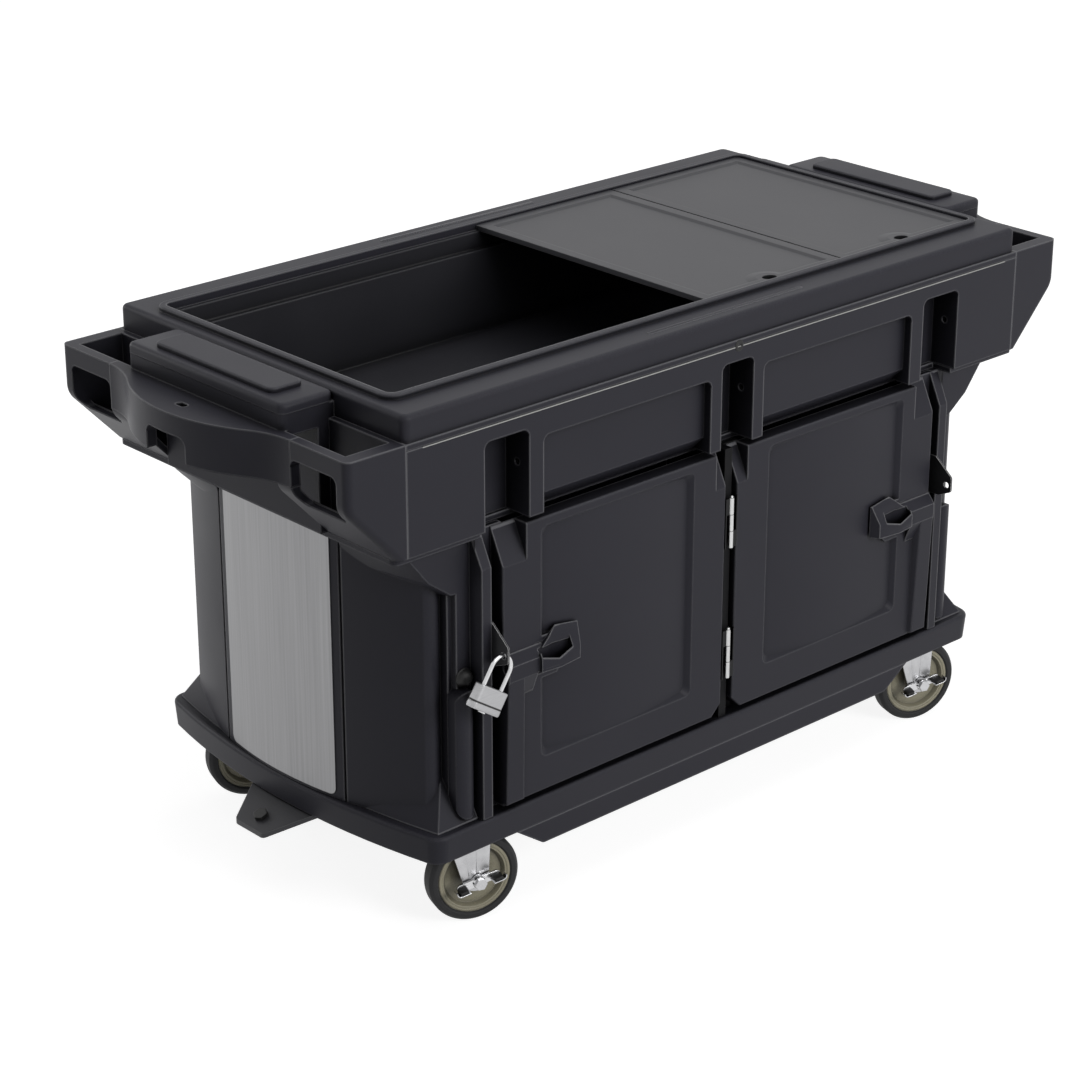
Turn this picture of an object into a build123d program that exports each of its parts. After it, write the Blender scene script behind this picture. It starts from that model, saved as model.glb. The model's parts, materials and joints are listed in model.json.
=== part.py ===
from build123d import *
from math import atan, cos, degrees, radians, sin, sqrt, tan
import os

os.makedirs("parts", exist_ok=True)

# Millimetres; X runs along the bar, Y from the doors to the customer side, Z up from the floor

# Stack of heights, from the floor up
wheel_diameter = 150.0
swivel_height = 35.0
base_plate = 8.0
cabinet_height = 468.0
pan_thickness = 10.0
skirt_height = 165.0
ledge_thickness = 10.0
deck_rise = 41.0
rim_height = 8.0

# Lengths along the bar
deck_length = 1344.0
bin_length = 108.0
rail_bulge = 61.5
rim_margin = 22.0
pod_margin = 16.0
pod_width = 144.0
base_overhang = 4.0
pan_overhang = 18.0

# Depths across the bar
deck_width = 686.0
ledge_step = 4.0
rim_margin_side = 57.0
skirt_depth = 60.0
door_setback = 7.0
door_thickness = 28.0
staple_reach = 26.0

# Walls and rounds
wall = 6.0
rail_wall = 18.0
rim_width = 12.0
deck_corner = 12.0
deck_round = 8.0
edge_round = 3.0

# Well, its liner and covers
well_corner = 14.0
pan_corner = 16.0
lip_width = 4.0
lip_drop = 10.0
liner_wall = 4.0
step_drop = 35.0
step_width = 10.0
well_depth = 183.0
well_draft = 2.0
cover_length = 316.0
cover_gap = 1.0
cover_thickness = 6.0
cover_border = 16.0
finger_radius = 12.0
finger_inset = 18.0
drain_radius = 11.0
drain_x = -320.0

# Skirt slots for the tray rail brackets, and the wide recesses between them
slot_inset = 30.5
slot_half = 43.5
centre_slot_half = 35.0
slot_top = 25.0
slot_depth = 52.0
recess_top = 43.0
recess_depth = 15.0
recess_pillar = 24.0
end_pillar = 29.0
slot_bolt_radius = 5.0

# Corner bins and end handles
block_half = 188.0
block_length = 96.0
block_rise = 32.0
pad_rise = 16.0
rail_half = 220.0
rail_drop = 63.0
handhold_half = 47.0
handhold_rise = 40.0
bin_bend = 95.0
bin_toe = 18.0
bin_floor = 14.0

# Cabinet: pods, post, doors
pod_bow = 700.0
base_bow = 1400.0
rib_width = 12.0
rib_lip = 7.0
rib_setback = 10.0
strip_setback = 37.0
rear_setback = 22.0
panel_half = 130.0
panel_sheet = 1.5
panel_gap = 0.3
door_gap = 26.0
door_margin = 27.0
door_lift = 11.0
door_gap_back = 1.0
door_gap_top = 1.0
ramp_drop = 59.0
post_half = 40.0
pull_width = 70.0
pull_height = 62.0
pull_reach = 15.0
pad_border = 8.0
pull_draft = 9.0
pull_wall = 4.0
mouth_low = 2.0

# Hinges
knuckle_radius = 4.0
hinge_pin_radius = 2.0
hinge_length = 85.0
leaf = 2.0

# Casters
wheel_width = 32.0
hub_radius = 60.0
axle_radius = 6.0
trail = 14.0
fork_gap = 20.0
fork_wall = 4.0
caster_turn = -18.0
pivot_margin = 140.0
pivot_setback = 65.0
fit = 0.05

# Derived heights
base_under = wheel_diameter + swivel_height
base_top = base_under + base_plate
cabinet_top = base_top + cabinet_height
skirt_bottom = cabinet_top + pan_thickness
seam = skirt_bottom + skirt_height
ledge_top = seam + ledge_thickness
deck_top = ledge_top + deck_rise
rim_top = deck_top + rim_height
lip_top = deck_top - lip_drop
step_top = deck_top - step_drop
well_floor = rim_top - well_depth

# Derived lengths and depths
deck_half = deck_length / 2
ledge_half = deck_half + bin_length
rail_reach = ledge_half + rail_bulge
rim_length = deck_length - 2 * rim_margin
rim_depth = deck_width - 2 * rim_margin_side
well_length = rim_length - 2 * rim_width
well_width = rim_depth - 2 * rim_width
pod_reach = deck_half - pod_margin
pod_inner = pod_reach - pod_width
base_reach = pod_reach + base_overhang
skirt_face = deck_width / 2 + ledge_step
skirt_back = skirt_face - skirt_depth
door_front = skirt_face - door_setback
door_back = door_front - door_thickness
door_edge = pod_inner - door_margin
slot_x = pod_inner - slot_inset
wheel_radius = wheel_diameter / 2

# The origin lies under the middle of the overall box, which the staples lengthen at the front
origin_shift = staple_reach / 2


def block(x0, x1, y0, y1, z0, z1):
    return Pos((x0 + x1) / 2, (y0 + y1) / 2, (z0 + z1) / 2) * Box(x1 - x0, y1 - y0, z1 - z0)


def along_x(sketch, x0, x1):
    return extrude(Plane.YZ.offset(x0) * sketch, x1 - x0)


def along_y(sketch, y0, y1):
    return extrude(Plane.XZ.offset(-y1) * sketch, y1 - y0)


def along_z(sketch, z0, z1):
    return extrude(Plane.XY.offset(z0) * sketch, z1 - z0)


def downward(sketch, z, height, taper):
    return extrude(Plane((0, 0, z), x_dir=(1, 0, 0), z_dir=(0, 0, -1)) * sketch, height, taper=taper)


def polygon(*points):
    return make_face(Polyline(*points, close=True))


def rounded(length, width, radius, z0, z1):
    return along_z(RectangleRounded(length, width, radius), z0, z1)


def swap_ends(shape):
    return mirror(shape, about=Plane.YZ)


def swap_sides(shape):
    return mirror(shape, about=Plane.XZ)


# Plan with straight sides and bowed ends
def bowed_plan(reach, half_width, bow, corner):
    end = reach - bow + sqrt(bow**2 - half_width**2)
    rear = Line((-end, half_width), (end, half_width))
    right = ThreePointArc((end, half_width), (reach, 0), (end, -half_width))
    front = Line((end, -half_width), (-end, -half_width))
    left = ThreePointArc((-end, -half_width), (-reach, 0), (-end, half_width))
    plan = make_face([rear, right, front, left])
    return fillet(plan.vertices(), corner)


# Base
base_rim = 46.0
base_wall = 8.0
base_draft = 5.0
base_corner = 28.0
apron_drop = 38.0
apron_margin = 205.0
apron_slope = 55.0
hose_radius = 16.0

base_low = base_top - base_rim


def drafted_tray(inset, high, low):
    foot = inset + (high - low) * tan(radians(base_draft))
    top = bowed_plan(base_reach - inset, door_front - inset, base_bow, base_corner - inset)
    bottom = bowed_plan(base_reach - foot, door_front - foot, base_bow, base_corner - foot)
    return loft([Plane.XY.offset(high) * top, Plane.XY.offset(low) * bottom])


def make_base_tray():
    body = drafted_tray(0, base_top, base_low)
    body = fillet(body.faces().sort_by(Axis.Z)[-1].edges(), wall)
    body -= drafted_tray(base_wall + base_plate * tan(radians(base_draft)), base_under, base_low - 1)
    return body - Pos(drain_x, 0, 0) * along_z(Circle(hose_radius), base_under, base_top)


# Aprons hang under the long sides of the rim, between the casters
def make_aprons():
    half = base_reach - apron_margin
    low = base_low - apron_drop
    outline = polygon(
        (-half, base_low),
        (half, base_low),
        (half - apron_slope, low),
        (apron_slope - half, low),
    )
    outline = fillet(outline.vertices().group_by(Axis.Y)[0], deck_corner)
    face = door_front - base_rim * tan(radians(base_draft))
    front = along_y(outline, -face, base_wall - face)
    return Compound(children=[front, swap_sides(front)])


# Pods: flat strip, ridge and column, then the bowed end; the rear also has a rib
step_draft = 2.0
strip_width = 26.0
ridge_step = 9.0
ridge_width = 8.0
column_step = 15.0
column_swell = 6.0
column_corner = 8.0
groove_y = 148.0
groove_width = 5.0
groove_depth = 4.0
stop_reach = 42.0
stop_depth = 10.0
pod_wall = 8.0

pilaster_rise = 20.0
pilaster_lift = 8.0
pilaster_top = 222.0
pilaster_flat = 1.0

strip_face = skirt_face - strip_setback
rib_x = pod_inner + rib_width
rib_inner = pod_inner - rib_lip
strip_x = rib_x + step_draft + strip_width
ridge_x = strip_x + step_draft + ridge_width
column_x = ridge_x + step_draft
column_face = strip_face - ridge_step - column_step


def pod_plan():
    rib = skirt_face - rib_setback
    ridge = strip_face - ridge_step
    bow_x = pod_reach - pod_bow + sqrt(pod_bow**2 - column_face**2)
    middle = (column_x + bow_x) / 2
    steps = [
        (strip_x, strip_face),
        (strip_x + step_draft, ridge),
        (ridge_x, ridge),
        (column_x, column_face),
    ]
    front = [(pod_inner, strip_face)] + steps
    rear = [(pod_inner, rib), (rib_x, rib), (rib_x + step_draft, strip_face)] + steps
    inner = Line((pod_inner, -strip_face), (pod_inner, rib))
    bow = ThreePointArc((bow_x, -column_face), (pod_reach, 0), (bow_x, column_face))
    edges = [inner, bow]
    for side, points in ((-1, front), (1, rear)):
        edges.append(Polyline(*[(x, side * y) for x, y in points]))
        swell = (middle, side * (column_face + column_swell))
        edges.append(ThreePointArc((column_x, side * column_face), swell, (bow_x, side * column_face)))
    plan = make_face(edges)
    corners = plan.vertices().filter_by(lambda v: abs(v.X - bow_x) < edge_round)
    return fillet(corners, column_corner)


# Round pilaster over the strip and the ridge, from the foot up to the bumper
def pilaster():
    left = rib_x + step_draft + pilaster_flat
    middle = (left + column_x) / 2
    back = strip_face - ridge_step
    arc = ThreePointArc((left, -strip_face), (middle, -strip_face - pilaster_rise), (column_x, -back))
    plan = make_face([arc, Polyline((column_x, -back), (left, -back), (left, -strip_face))])
    width = column_x - left
    low = base_top + pilaster_lift
    high = base_top + pilaster_top
    front = Pos(middle, (low + high) / 2) * RectangleRounded(width, high - low, width / 2 - pilaster_flat)
    return along_z(plan, low, high) & along_y(front, -skirt_face, -back)


# Foot and head flare out to the corners and die out against the bowed end
foot_height = 75.0
foot_setback = 21.0
foot_corner = 50.0
foot_draw = 42.0
head_corner = 4.0
head_waist = 56.0
head_toe = 104.0
waist_drop = 60.0
toe_drop = 92.0
flare_bow = 6.0


def flare_plan(z, corner, half_width):
    x = pod_reach - corner
    reach = pod_reach - base_overhang - corner / flare_bow
    front = Line((pod_inner, -half_width), (x, -half_width))
    bow = ThreePointArc((x, -half_width), (reach, 0), (x, half_width))
    rear = Polyline((x, half_width), (pod_inner, half_width), (pod_inner, -half_width))
    return Plane.XY.offset(z) * make_face([front, bow, rear])


def flares():
    wide = skirt_face - foot_setback
    foot = loft([
        flare_plan(base_top, foot_corner, wide),
        flare_plan(base_top + foot_height, foot_corner + foot_draw, wide - foot_draw),
    ])
    head = loft(
        [
            flare_plan(cabinet_top, head_corner, wide),
            flare_plan(cabinet_top - waist_drop, head_waist, wide),
            flare_plan(cabinet_top - toe_drop, head_toe, wide),
        ],
        ruled=True,
    )
    head &= block(pod_inner, pod_reach, -strip_face, strip_face, base_top, cabinet_top)
    return foot + head - block(pod_inner, pod_reach, -groove_y, groove_y, base_top, cabinet_top)


def pod_hollow():
    side = column_face - pod_wall
    radius = pod_bow - pod_wall
    end = pod_reach - pod_bow + sqrt(radius**2 - side**2)
    front = Line((pod_inner + pod_wall, -side), (end, -side))
    bow = ThreePointArc((end, -side), (pod_reach - pod_wall, 0), (end, side))
    rear = Polyline((end, side), (pod_inner + pod_wall, side), (pod_inner + pod_wall, -side))
    return make_face([front, bow, rear])


def ramp(x0, x1):
    high = cabinet_top - door_gap_top
    slope = door_thickness / ramp_drop
    front = skirt_face + 1
    cut = polygon(
        (-front, high - ramp_drop + (door_front - front) / slope),
        (-door_back + door_thickness, high + ramp_drop),
        (-front, high + ramp_drop),
    )
    return along_x(cut, x0, x1)


def make_right_pod():
    body = along_z(pod_plan(), base_top, cabinet_top)
    body += flares() + pilaster()
    body -= block(pod_inner, rib_x + step_draft, -skirt_face, -strip_face, base_top, cabinet_top)
    body -= along_z(pod_hollow(), base_top, cabinet_top - pod_wall)
    deep = pod_reach - groove_y**2 / (2 * pod_bow) - groove_depth
    for y in (-groove_y, groove_y):
        body -= block(deep, pod_reach, y - groove_width / 2, y + groove_width / 2, base_top, cabinet_top)
    return body


# Door jambs: rib beside the door and stop behind it, fixed on the pod's strip and inner wall
def make_right_jamb():
    rib = skirt_face - rib_setback
    stop = door_back - door_gap_back
    plan = polygon(
        (rib_inner, -rib),
        (rib_x, -rib),
        (rib_x + step_draft, -strip_face),
        (pod_inner, -strip_face),
        (pod_inner, stop_depth - stop),
        (rib_inner - stop_reach, stop_depth - stop),
        (rib_inner - stop_reach, -stop),
        (rib_inner, -stop),
    )
    return along_z(plan, base_top, cabinet_top) - ramp(rib_inner, slot_x + slot_half)


def make_jambs():
    right = make_right_jamb()
    return Compound(children=[swap_ends(right), right])


def make_right_end_panel():
    radius = pod_bow + panel_gap
    centre = Pos(pod_reach - pod_bow, 0)
    ring = centre * Circle(radius + panel_sheet) - centre * Circle(radius)
    sheet = along_z(ring, base_top + wall, cabinet_top - wall)
    height = cabinet_height - 2 * wall
    outline = Pos(0, base_top + cabinet_height / 2) * RectangleRounded(2 * panel_half, height, deck_corner)
    return sheet & along_x(outline, pod_inner, pod_reach + deck_corner)


# Rear wall with two pressed fields, between the pods
rear_sheet = 10.0
rear_field_depth = 5.0
field_margin = 70.0
field_corner = 22.0


def make_rear_wall():
    back = skirt_face - rear_setback
    body = block(-pod_inner, pod_inner, back - rear_sheet, back, base_top, cabinet_top)
    width = pod_inner - 1.5 * field_margin
    field = RectangleRounded(width, cabinet_height - 2 * field_margin, field_corner)
    for side in (-1, 1):
        place = Pos(side * (pod_inner + field_margin / 2 - field_margin) / 2, base_top + cabinet_height / 2)
        body -= along_y(place * field, back - rear_field_depth, back)
    return body


# Centre post: nib in the gap between the doors, stop behind them, web
nib_half = 8.0
nib_setback = 9.0
post_web = 10.0
post_depth = 46.0


def make_centre_post():
    stop = door_gap_back - door_back
    plan = Pos(0, stop - (door_thickness - nib_setback) / 2 - 0.5) * Rectangle(
        2 * nib_half, door_thickness - nib_setback + 1
    )
    plan += Pos(0, stop + stop_depth / 2) * Rectangle(2 * post_half, stop_depth)
    plan += Pos(0, stop + stop_depth + post_depth / 2) * Rectangle(2 * post_web, post_depth)
    return along_z(plan, base_top, cabinet_top)


# Doors
field_inner = 84.0
field_outer = 77.0
field_low = 58.0
field_high = 14.0
field_depth = 8.0
field_slope = 9.0
field_crest = 1.0
grip_width = 39.0
grip_rise = 13.0
grip_foot_rise = 7.0
grip_slope = 7.0
grip_lift = 3.5
grip_top = 226.0
grip_ramp = 16.0
pull_inset = 89.0
pull_z = 239.0
foot_chamfer = 20.0
cup_half = 26.0
cup_depth = 16.0

door_low = base_top + door_lift
door_high = cabinet_top - door_gap_top
door_hinge_edge = door_gap / 2
pull_x = door_edge - pull_inset
pull_height_z = base_top + pull_z


def pull_outline(width, height):
    corner = width / 4
    return polygon(
        (-width / 2, -height / 2 + corner),
        (-width / 2 + corner, -height / 2),
        (width / 2 - corner, -height / 2),
        (width / 2, -height / 2 + corner),
        (width / 2, height / 2 - corner),
        (width / 2 - corner, height / 2),
        (corner - width / 2, height / 2),
        (-width / 2, height / 2 - corner),
    )


# Sunken field with sloping sides, round a flat pad for the pull; its floor bows out in the middle
def door_field():
    left = field_inner
    right = door_edge - field_outer
    low = door_low + field_low
    high = door_high - field_high
    middle = Pos((left + right) / 2, (low + high) / 2)
    opening = middle * RectangleRounded(right - left, high - low, deck_corner)
    inset = 2 * field_slope
    sunk = middle * RectangleRounded(right - left - inset, high - low - inset, deck_corner)
    cut = loft([Plane.XZ.offset(door_front) * opening, Plane.XZ.offset(door_front - field_depth) * sunk])
    sag = field_depth - field_crest
    radius = ((right - left - inset) ** 2 / 4 + sag**2) / (2 * sag)
    crown = Pos((left + right) / 2, field_crest - door_front + radius) * Circle(radius)
    pad = Pos(pull_x, pull_height_z) * pull_outline(pull_width + pad_border, pull_height + pad_border)
    return cut - along_z(crown, door_low, door_high) - along_y(pad, -door_front, -door_back)


# Raised grip along the free edge, from the foot up to the pull
def door_grip():
    root = edge_round - door_front
    front = -door_front - grip_rise
    start = door_edge - grip_width
    low = door_low + grip_lift
    top = base_top + grip_top
    outline = polygon(
        (root, low),
        (-door_front - grip_foot_rise, low),
        (front, top),
        (-door_front, top + grip_ramp),
        (root, top + grip_ramp),
    )
    plan = polygon(
        (start, root),
        (start, -door_front),
        (start + grip_slope, front),
        (door_edge, front),
        (door_edge, root),
    )
    return along_x(outline, start, door_edge) & along_z(plan, door_low, door_high)


def make_right_door():
    outline = polygon(
        (door_hinge_edge, door_low + foot_chamfer),
        (door_hinge_edge + foot_chamfer, door_low),
        (door_edge, door_low),
        (door_edge, door_high),
        (door_hinge_edge, door_high),
    )
    body = along_y(outline, -door_front, -door_back)
    body = fillet(body.faces().sort_by(Axis.Y)[0].edges(), edge_round)
    body -= door_field()
    grip = door_grip()
    body += fillet(grip.faces().sort_by(Axis.Y)[0].edges(), edge_round)
    body -= block(
        pull_x - cup_half,
        pull_x + cup_half,
        -door_front,
        cup_depth - door_front,
        pull_height_z - cup_half,
        pull_height_z + cup_half,
    )
    body -= ramp(slot_x - slot_half, door_edge)
    body -= ramp(door_hinge_edge, centre_slot_half)
    return body


# Finger space behind the pull, open at the top
def pull_throat(depth):
    inset = pull_wall + pull_draft * depth / pull_reach
    half = pull_width / 2 - inset
    low = inset - pull_height / 2
    outline = polygon(
        (-half, pull_height),
        (-half, low + half / 2),
        (-half / 2, low),
        (half / 2, low),
        (half, low + half / 2),
        (half, pull_height),
    )
    return Plane.XZ.offset(door_front + depth) * outline


def make_right_pull():
    tip = 2 * pull_draft
    back = Plane.XZ.offset(door_front) * pull_outline(pull_width, pull_height)
    front = Plane.XZ.offset(door_front + pull_reach) * pull_outline(pull_width - tip, pull_height - tip)
    hood = loft([back, front]) - loft([pull_throat(0), pull_throat(pull_reach - pull_wall)])
    mouth = polygon(
        (-door_front, pull_height / 2 - wall),
        (-door_front - pull_reach, mouth_low),
        (-door_front - pull_reach, pull_height),
        (-door_front, pull_height),
    )
    hood -= along_x(mouth, -pull_width, pull_width)
    return Pos(pull_x, 0, pull_height_z) * hood


# Three-leaf hinges on one line in the gap between the doors
hinge_low = 116.0
hinge_high = 345.0
leaf_depth = 24.0
knuckle_gap = 0.5
pin_tail = 1.0

hinge_centres = [base_top + hinge_low, base_top + hinge_high]
third = hinge_length / 3


def knuckle(low, high, bore):
    tube = along_z(Circle(knuckle_radius) - Circle(bore), low, high)
    return Pos(0, -door_front, 0) * tube


def door_leaf(centre, low, high):
    edge = door_hinge_edge
    plate = block(
        edge - leaf,
        edge,
        -door_front - leaf / 2,
        leaf_depth - door_front,
        centre - hinge_length / 2,
        centre + hinge_length / 2,
    )
    reach = sqrt(knuckle_radius**2 - (leaf / 2) ** 2) - knuckle_gap
    arm = block(reach, edge, -door_front - leaf / 2, leaf / 2 - door_front, low, high)
    return plate + arm + knuckle(low, high, hinge_pin_radius + fit)


def make_right_leaves():
    leaves = []
    for centre in hinge_centres:
        low = centre - hinge_length / 2
        leaves.append(door_leaf(centre, low, low + third - knuckle_gap))
    return Compound(children=leaves)


def make_left_leaves():
    leaves = []
    for centre in hinge_centres:
        high = centre + hinge_length / 2
        leaves.append(swap_ends(door_leaf(centre, high - third + knuckle_gap, high)))
    return Compound(children=leaves)


def make_post_leaves():
    nib = nib_setback - door_front
    leaves = []
    for centre in hinge_centres:
        low = centre - third / 2 + knuckle_gap
        high = centre + third / 2 - knuckle_gap
        web = block(-leaf / 2, leaf / 2, knuckle_radius - knuckle_gap - door_front, nib, low, high)
        flange = block(leaf / 2 - nib_half, nib_half - leaf / 2, nib - leaf, nib, low, high)
        leaves.append(web + flange + knuckle(low, high, hinge_pin_radius))
    return Compound(children=leaves)


def make_hinge_pins():
    pins = []
    for centre in hinge_centres:
        low = centre - hinge_length / 2 - pin_tail
        top = centre + hinge_length / 2 + pin_tail
        shaft = Pos(0, -door_front, 0) * along_z(Circle(hinge_pin_radius), low, top)
        head = Pos(0, -door_front, top) * Sphere(knuckle_radius - pin_tail)
        cap = block(-wall, wall, -skirt_face, wall - door_front, top, top + wall)
        pins.append(shaft + (head & cap))
    return Compound(children=pins)


# Hasp staples on the door jambs, and the padlock through the left one
staple_sheet = 3.0
staple_low = 257.0
staple_base = 68.0
staple_nose = 12.0
staple_brow = 38.0
staple_hole_radius = 5.5
staple_hole_inset = 10.5
staple_hole_rise = 22.5
lock_wire = 3.5
lock_bow = 20.0
lock_turn = 69.5
lock_tilt = 33.5
lock_drop = 31.0
lock_width = 62.0
lock_height = 38.5
lock_depth = 20.0
lock_short = 9.0
lock_long = 20.0

staple_tip = skirt_face + staple_reach
staple_z = base_top + staple_low
hole_y = staple_hole_inset - staple_tip
hole_z = staple_z + staple_hole_rise


def make_right_staple():
    root = door_back + staple_sheet
    outline = polygon(
        (-root, staple_z),
        (-door_front - wall, staple_z),
        (-staple_tip, staple_z + staple_nose),
        (-staple_tip, staple_z + staple_brow),
        (rib_setback - skirt_face, staple_z + staple_base),
        (-root, staple_z + staple_base),
    )
    tip = outline.vertices().group_by(Axis.X)[0]
    outline = fillet(tip, wall)
    outline -= Pos(hole_y, hole_z) * Circle(staple_hole_radius)
    return along_x(outline, rib_inner - staple_sheet, rib_inner)


def make_staples():
    right = make_right_staple()
    return Compound(children=[swap_ends(right), right])


lock_x = staple_sheet / 2 - rib_inner - lock_bow * cos(radians(lock_turn))
lock_z = hole_z - lock_bow * sin(radians(lock_turn))
lock_place = Pos(lock_x, hole_y, lock_z) * Rot(0, lock_tilt, 0)


def make_shackle():
    ring = Rot(90, 0, 0) * Torus(lock_bow, lock_wire)
    bow = ring & block(-lock_drop, lock_drop, -lock_depth, lock_depth, 0, lock_drop)
    bow += Pos(lock_bow, 0, 0) * along_z(Circle(lock_wire), -lock_drop - lock_short, 0)
    bow += Pos(-lock_bow, 0, 0) * along_z(Circle(lock_wire), -lock_drop - lock_long, 0)
    return lock_place * bow


def make_lock_body():
    body = rounded(lock_width, lock_depth, wall, -lock_drop - lock_height, -lock_drop)
    body = fillet(body.faces().sort_by(Axis.Z)[0].edges() + body.faces().sort_by(Axis.Z)[-1].edges(), 2)
    for x in (-lock_bow, lock_bow):
        body -= Pos(x, 0, 0) * along_z(Circle(lock_wire + fit), -lock_drop - lock_long - 1, -lock_drop)
    return lock_place * body


# Bumpers on the pods beside the staples
bumper_radius = 12.5
bumper_inset = 27.0
bumper_drop = 20.0
bumper_rise = 11.0


def make_bumpers():
    sphere = (bumper_radius**2 + bumper_rise**2) / (2 * bumper_rise)
    cap = Pos(0, 0, bumper_rise - sphere) * Sphere(sphere)
    dome = cap & along_z(Circle(bumper_radius), 0, bumper_rise)
    bumpers = []
    for side in (-1, 1):
        place = Pos(side * (pod_inner + bumper_inset), -strip_face, staple_z - bumper_drop)
        bumpers.append(place * Rot(90, 0, 0) * dome)
    return Compound(children=bumpers)


# Under pan: closes the foam, ceiling of the cabinet
pan_setback = 47.0
ear_setback = 9.0
slot_clear = 1.0
drain_clear = 3.0


def make_under_pan():
    slots = slot_x + slot_half + slot_clear
    half = skirt_face - pan_setback
    hole = Pos(drain_x, 0, 0) * along_z(Circle(drain_radius + drain_clear), cabinet_top, skirt_bottom)
    middle = block(-slots, slots, -half, half, cabinet_top, skirt_bottom) - hole
    reach = deck_half + pan_overhang
    ears = rounded(2 * reach, 2 * (skirt_face - ear_setback), deck_corner, cabinet_top, skirt_bottom)
    right = ears & block(slots, reach, -skirt_face, skirt_face, cabinet_top, skirt_bottom)
    return Compound(children=[swap_ends(right), middle, right])


# Skirts
def skirt_cutter(x, half, top, depth, grow):
    high = seam - top + grow
    low = skirt_bottom - deck_corner
    height = high - low + wall
    shape = Pos(x, high - height / 2) * RectangleRounded(2 * (half + grow), height, deck_corner)
    return along_y(shape, -skirt_face - 1, depth + grow - skirt_face)


def recess_cutter(x, half, grow):
    cut = skirt_cutter(x, half, recess_top, slot_depth, grow)
    back = recess_depth + grow - skirt_face
    profile = polygon(
        (-skirt_face - 1, skirt_bottom - 1),
        (-skirt_face - 1, seam),
        (back, seam),
        (back, skirt_bottom + rail_wall + wall),
        (back + rail_wall + wall, skirt_bottom - 1),
    )
    return cut & along_x(profile, -deck_half, deck_half)


def skirt_recesses(grow):
    inner = centre_slot_half + recess_pillar
    outer = slot_x - slot_half - end_pillar
    middle = (inner + outer) / 2
    half = (outer - inner) / 2
    cutters = skirt_cutter(0, centre_slot_half, slot_top, slot_depth, grow)
    for side in (-1, 1):
        cutters += skirt_cutter(side * slot_x, slot_half, slot_top, slot_depth, grow)
        cutters += recess_cutter(side * middle, half, grow)
    return cutters


slot_bolt_depth = 27.0
slot_bolt_rise = 81.0


def make_front_skirt():
    body = block(-deck_half, deck_half, -skirt_face, -skirt_back, skirt_bottom, seam)
    core = block(
        wall - deck_half,
        deck_half - wall,
        wall - skirt_face,
        -skirt_back,
        skirt_bottom + wall,
        seam - wall,
    )
    body -= skirt_recesses(0)
    body -= core - skirt_recesses(wall)
    hole = Pos(slot_bolt_depth - skirt_face, skirt_bottom + slot_bolt_rise) * Circle(slot_bolt_radius)
    for x, half in ((-slot_x, slot_half), (0, centre_slot_half), (slot_x, slot_half)):
        body -= along_x(hole, x - half - wall, x + half + wall)
    return body


# Deck: channel round the well, with a raised rim
def make_deck():
    body = rounded(deck_length, deck_width, deck_corner, seam, deck_top)
    body = fillet(body.faces().sort_by(Axis.Z)[-1].edges(), deck_round)
    body += block(-deck_half, deck_half, -skirt_face, skirt_face, seam, ledge_top)
    rim = rounded(rim_length, rim_depth, well_corner + rim_width, deck_top, rim_top)
    rim = fillet(rim.faces().sort_by(Axis.Z)[-1].edges(), edge_round)
    body += rim
    lower_length = well_length - 2 * lip_width
    lower_width = well_width - 2 * lip_width
    lower_corner = well_corner - lip_width
    channel = rounded(deck_length - 2 * wall, deck_width - 2 * wall, deck_corner, seam, deck_top - wall)
    channel -= rounded(
        lower_length + 2 * wall, lower_width + 2 * wall, lower_corner + wall, seam, deck_top - wall
    )
    body -= channel
    body -= rounded(lower_length, lower_width, lower_corner, seam, lip_top)
    body -= rounded(well_length, well_width, well_corner, lip_top, rim_top)
    return body


# Well liner: flange on the deck's lip, step for pans, drafted walls, drain
def make_well_liner():
    length = well_length - 2 * lip_width
    width = well_width - 2 * lip_width
    corner = well_corner - lip_width
    lower_length = length - 2 * step_width
    lower_width = width - 2 * step_width
    inner = 2 * liner_wall
    body = rounded(well_length, well_width, well_corner, lip_top, lip_top + liner_wall)
    body += rounded(length, width, corner, step_top - liner_wall, lip_top)
    under = step_top - liner_wall - well_floor + liner_wall
    lower = RectangleRounded(lower_length, lower_width, pan_corner)
    body += downward(lower, step_top - liner_wall, under, well_draft)
    body -= rounded(length - inner, width - inner, corner - liner_wall, step_top, lip_top + liner_wall)
    pocket = RectangleRounded(lower_length - inner, lower_width - inner, pan_corner - liner_wall)
    body -= downward(pocket, step_top, step_top - well_floor, well_draft)
    return body - Pos(drain_x, 0, 0) * along_z(Circle(drain_radius), well_floor - deck_corner, well_floor)


def make_well_foam():
    body = block(-deck_half, deck_half, -skirt_back, skirt_back, skirt_bottom, seam)
    length = well_length - 2 * (lip_width + step_width)
    width = well_width - 2 * (lip_width + step_width)
    hollow = RectangleRounded(length, width, pan_corner)
    depth = step_top - well_floor
    body -= downward(hollow, step_top - liner_wall, depth, well_draft)
    return body - Pos(drain_x, 0, 0) * along_z(Circle(drain_radius + drain_clear), skirt_bottom, well_floor)


# Drain: flanged tube through the floor, with a nut under the pan
drain_flange = 26.0
drain_wall = 3.0
drain_tail = 22.0
nut_height = 8.0


def make_drain_fitting():
    low = cabinet_top - drain_tail
    tube = along_z(Circle(drain_radius), low, well_floor)
    tube += along_z(Circle(drain_flange), well_floor, well_floor + drain_wall)
    tube += along_z(RegularPolygon(drain_flange - wall, 6), cabinet_top - nut_height, cabinet_top)
    tube -= along_z(Circle(drain_radius - drain_wall), low, well_floor + drain_wall)
    return Pos(drain_x, 0, 0) * tube


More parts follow.
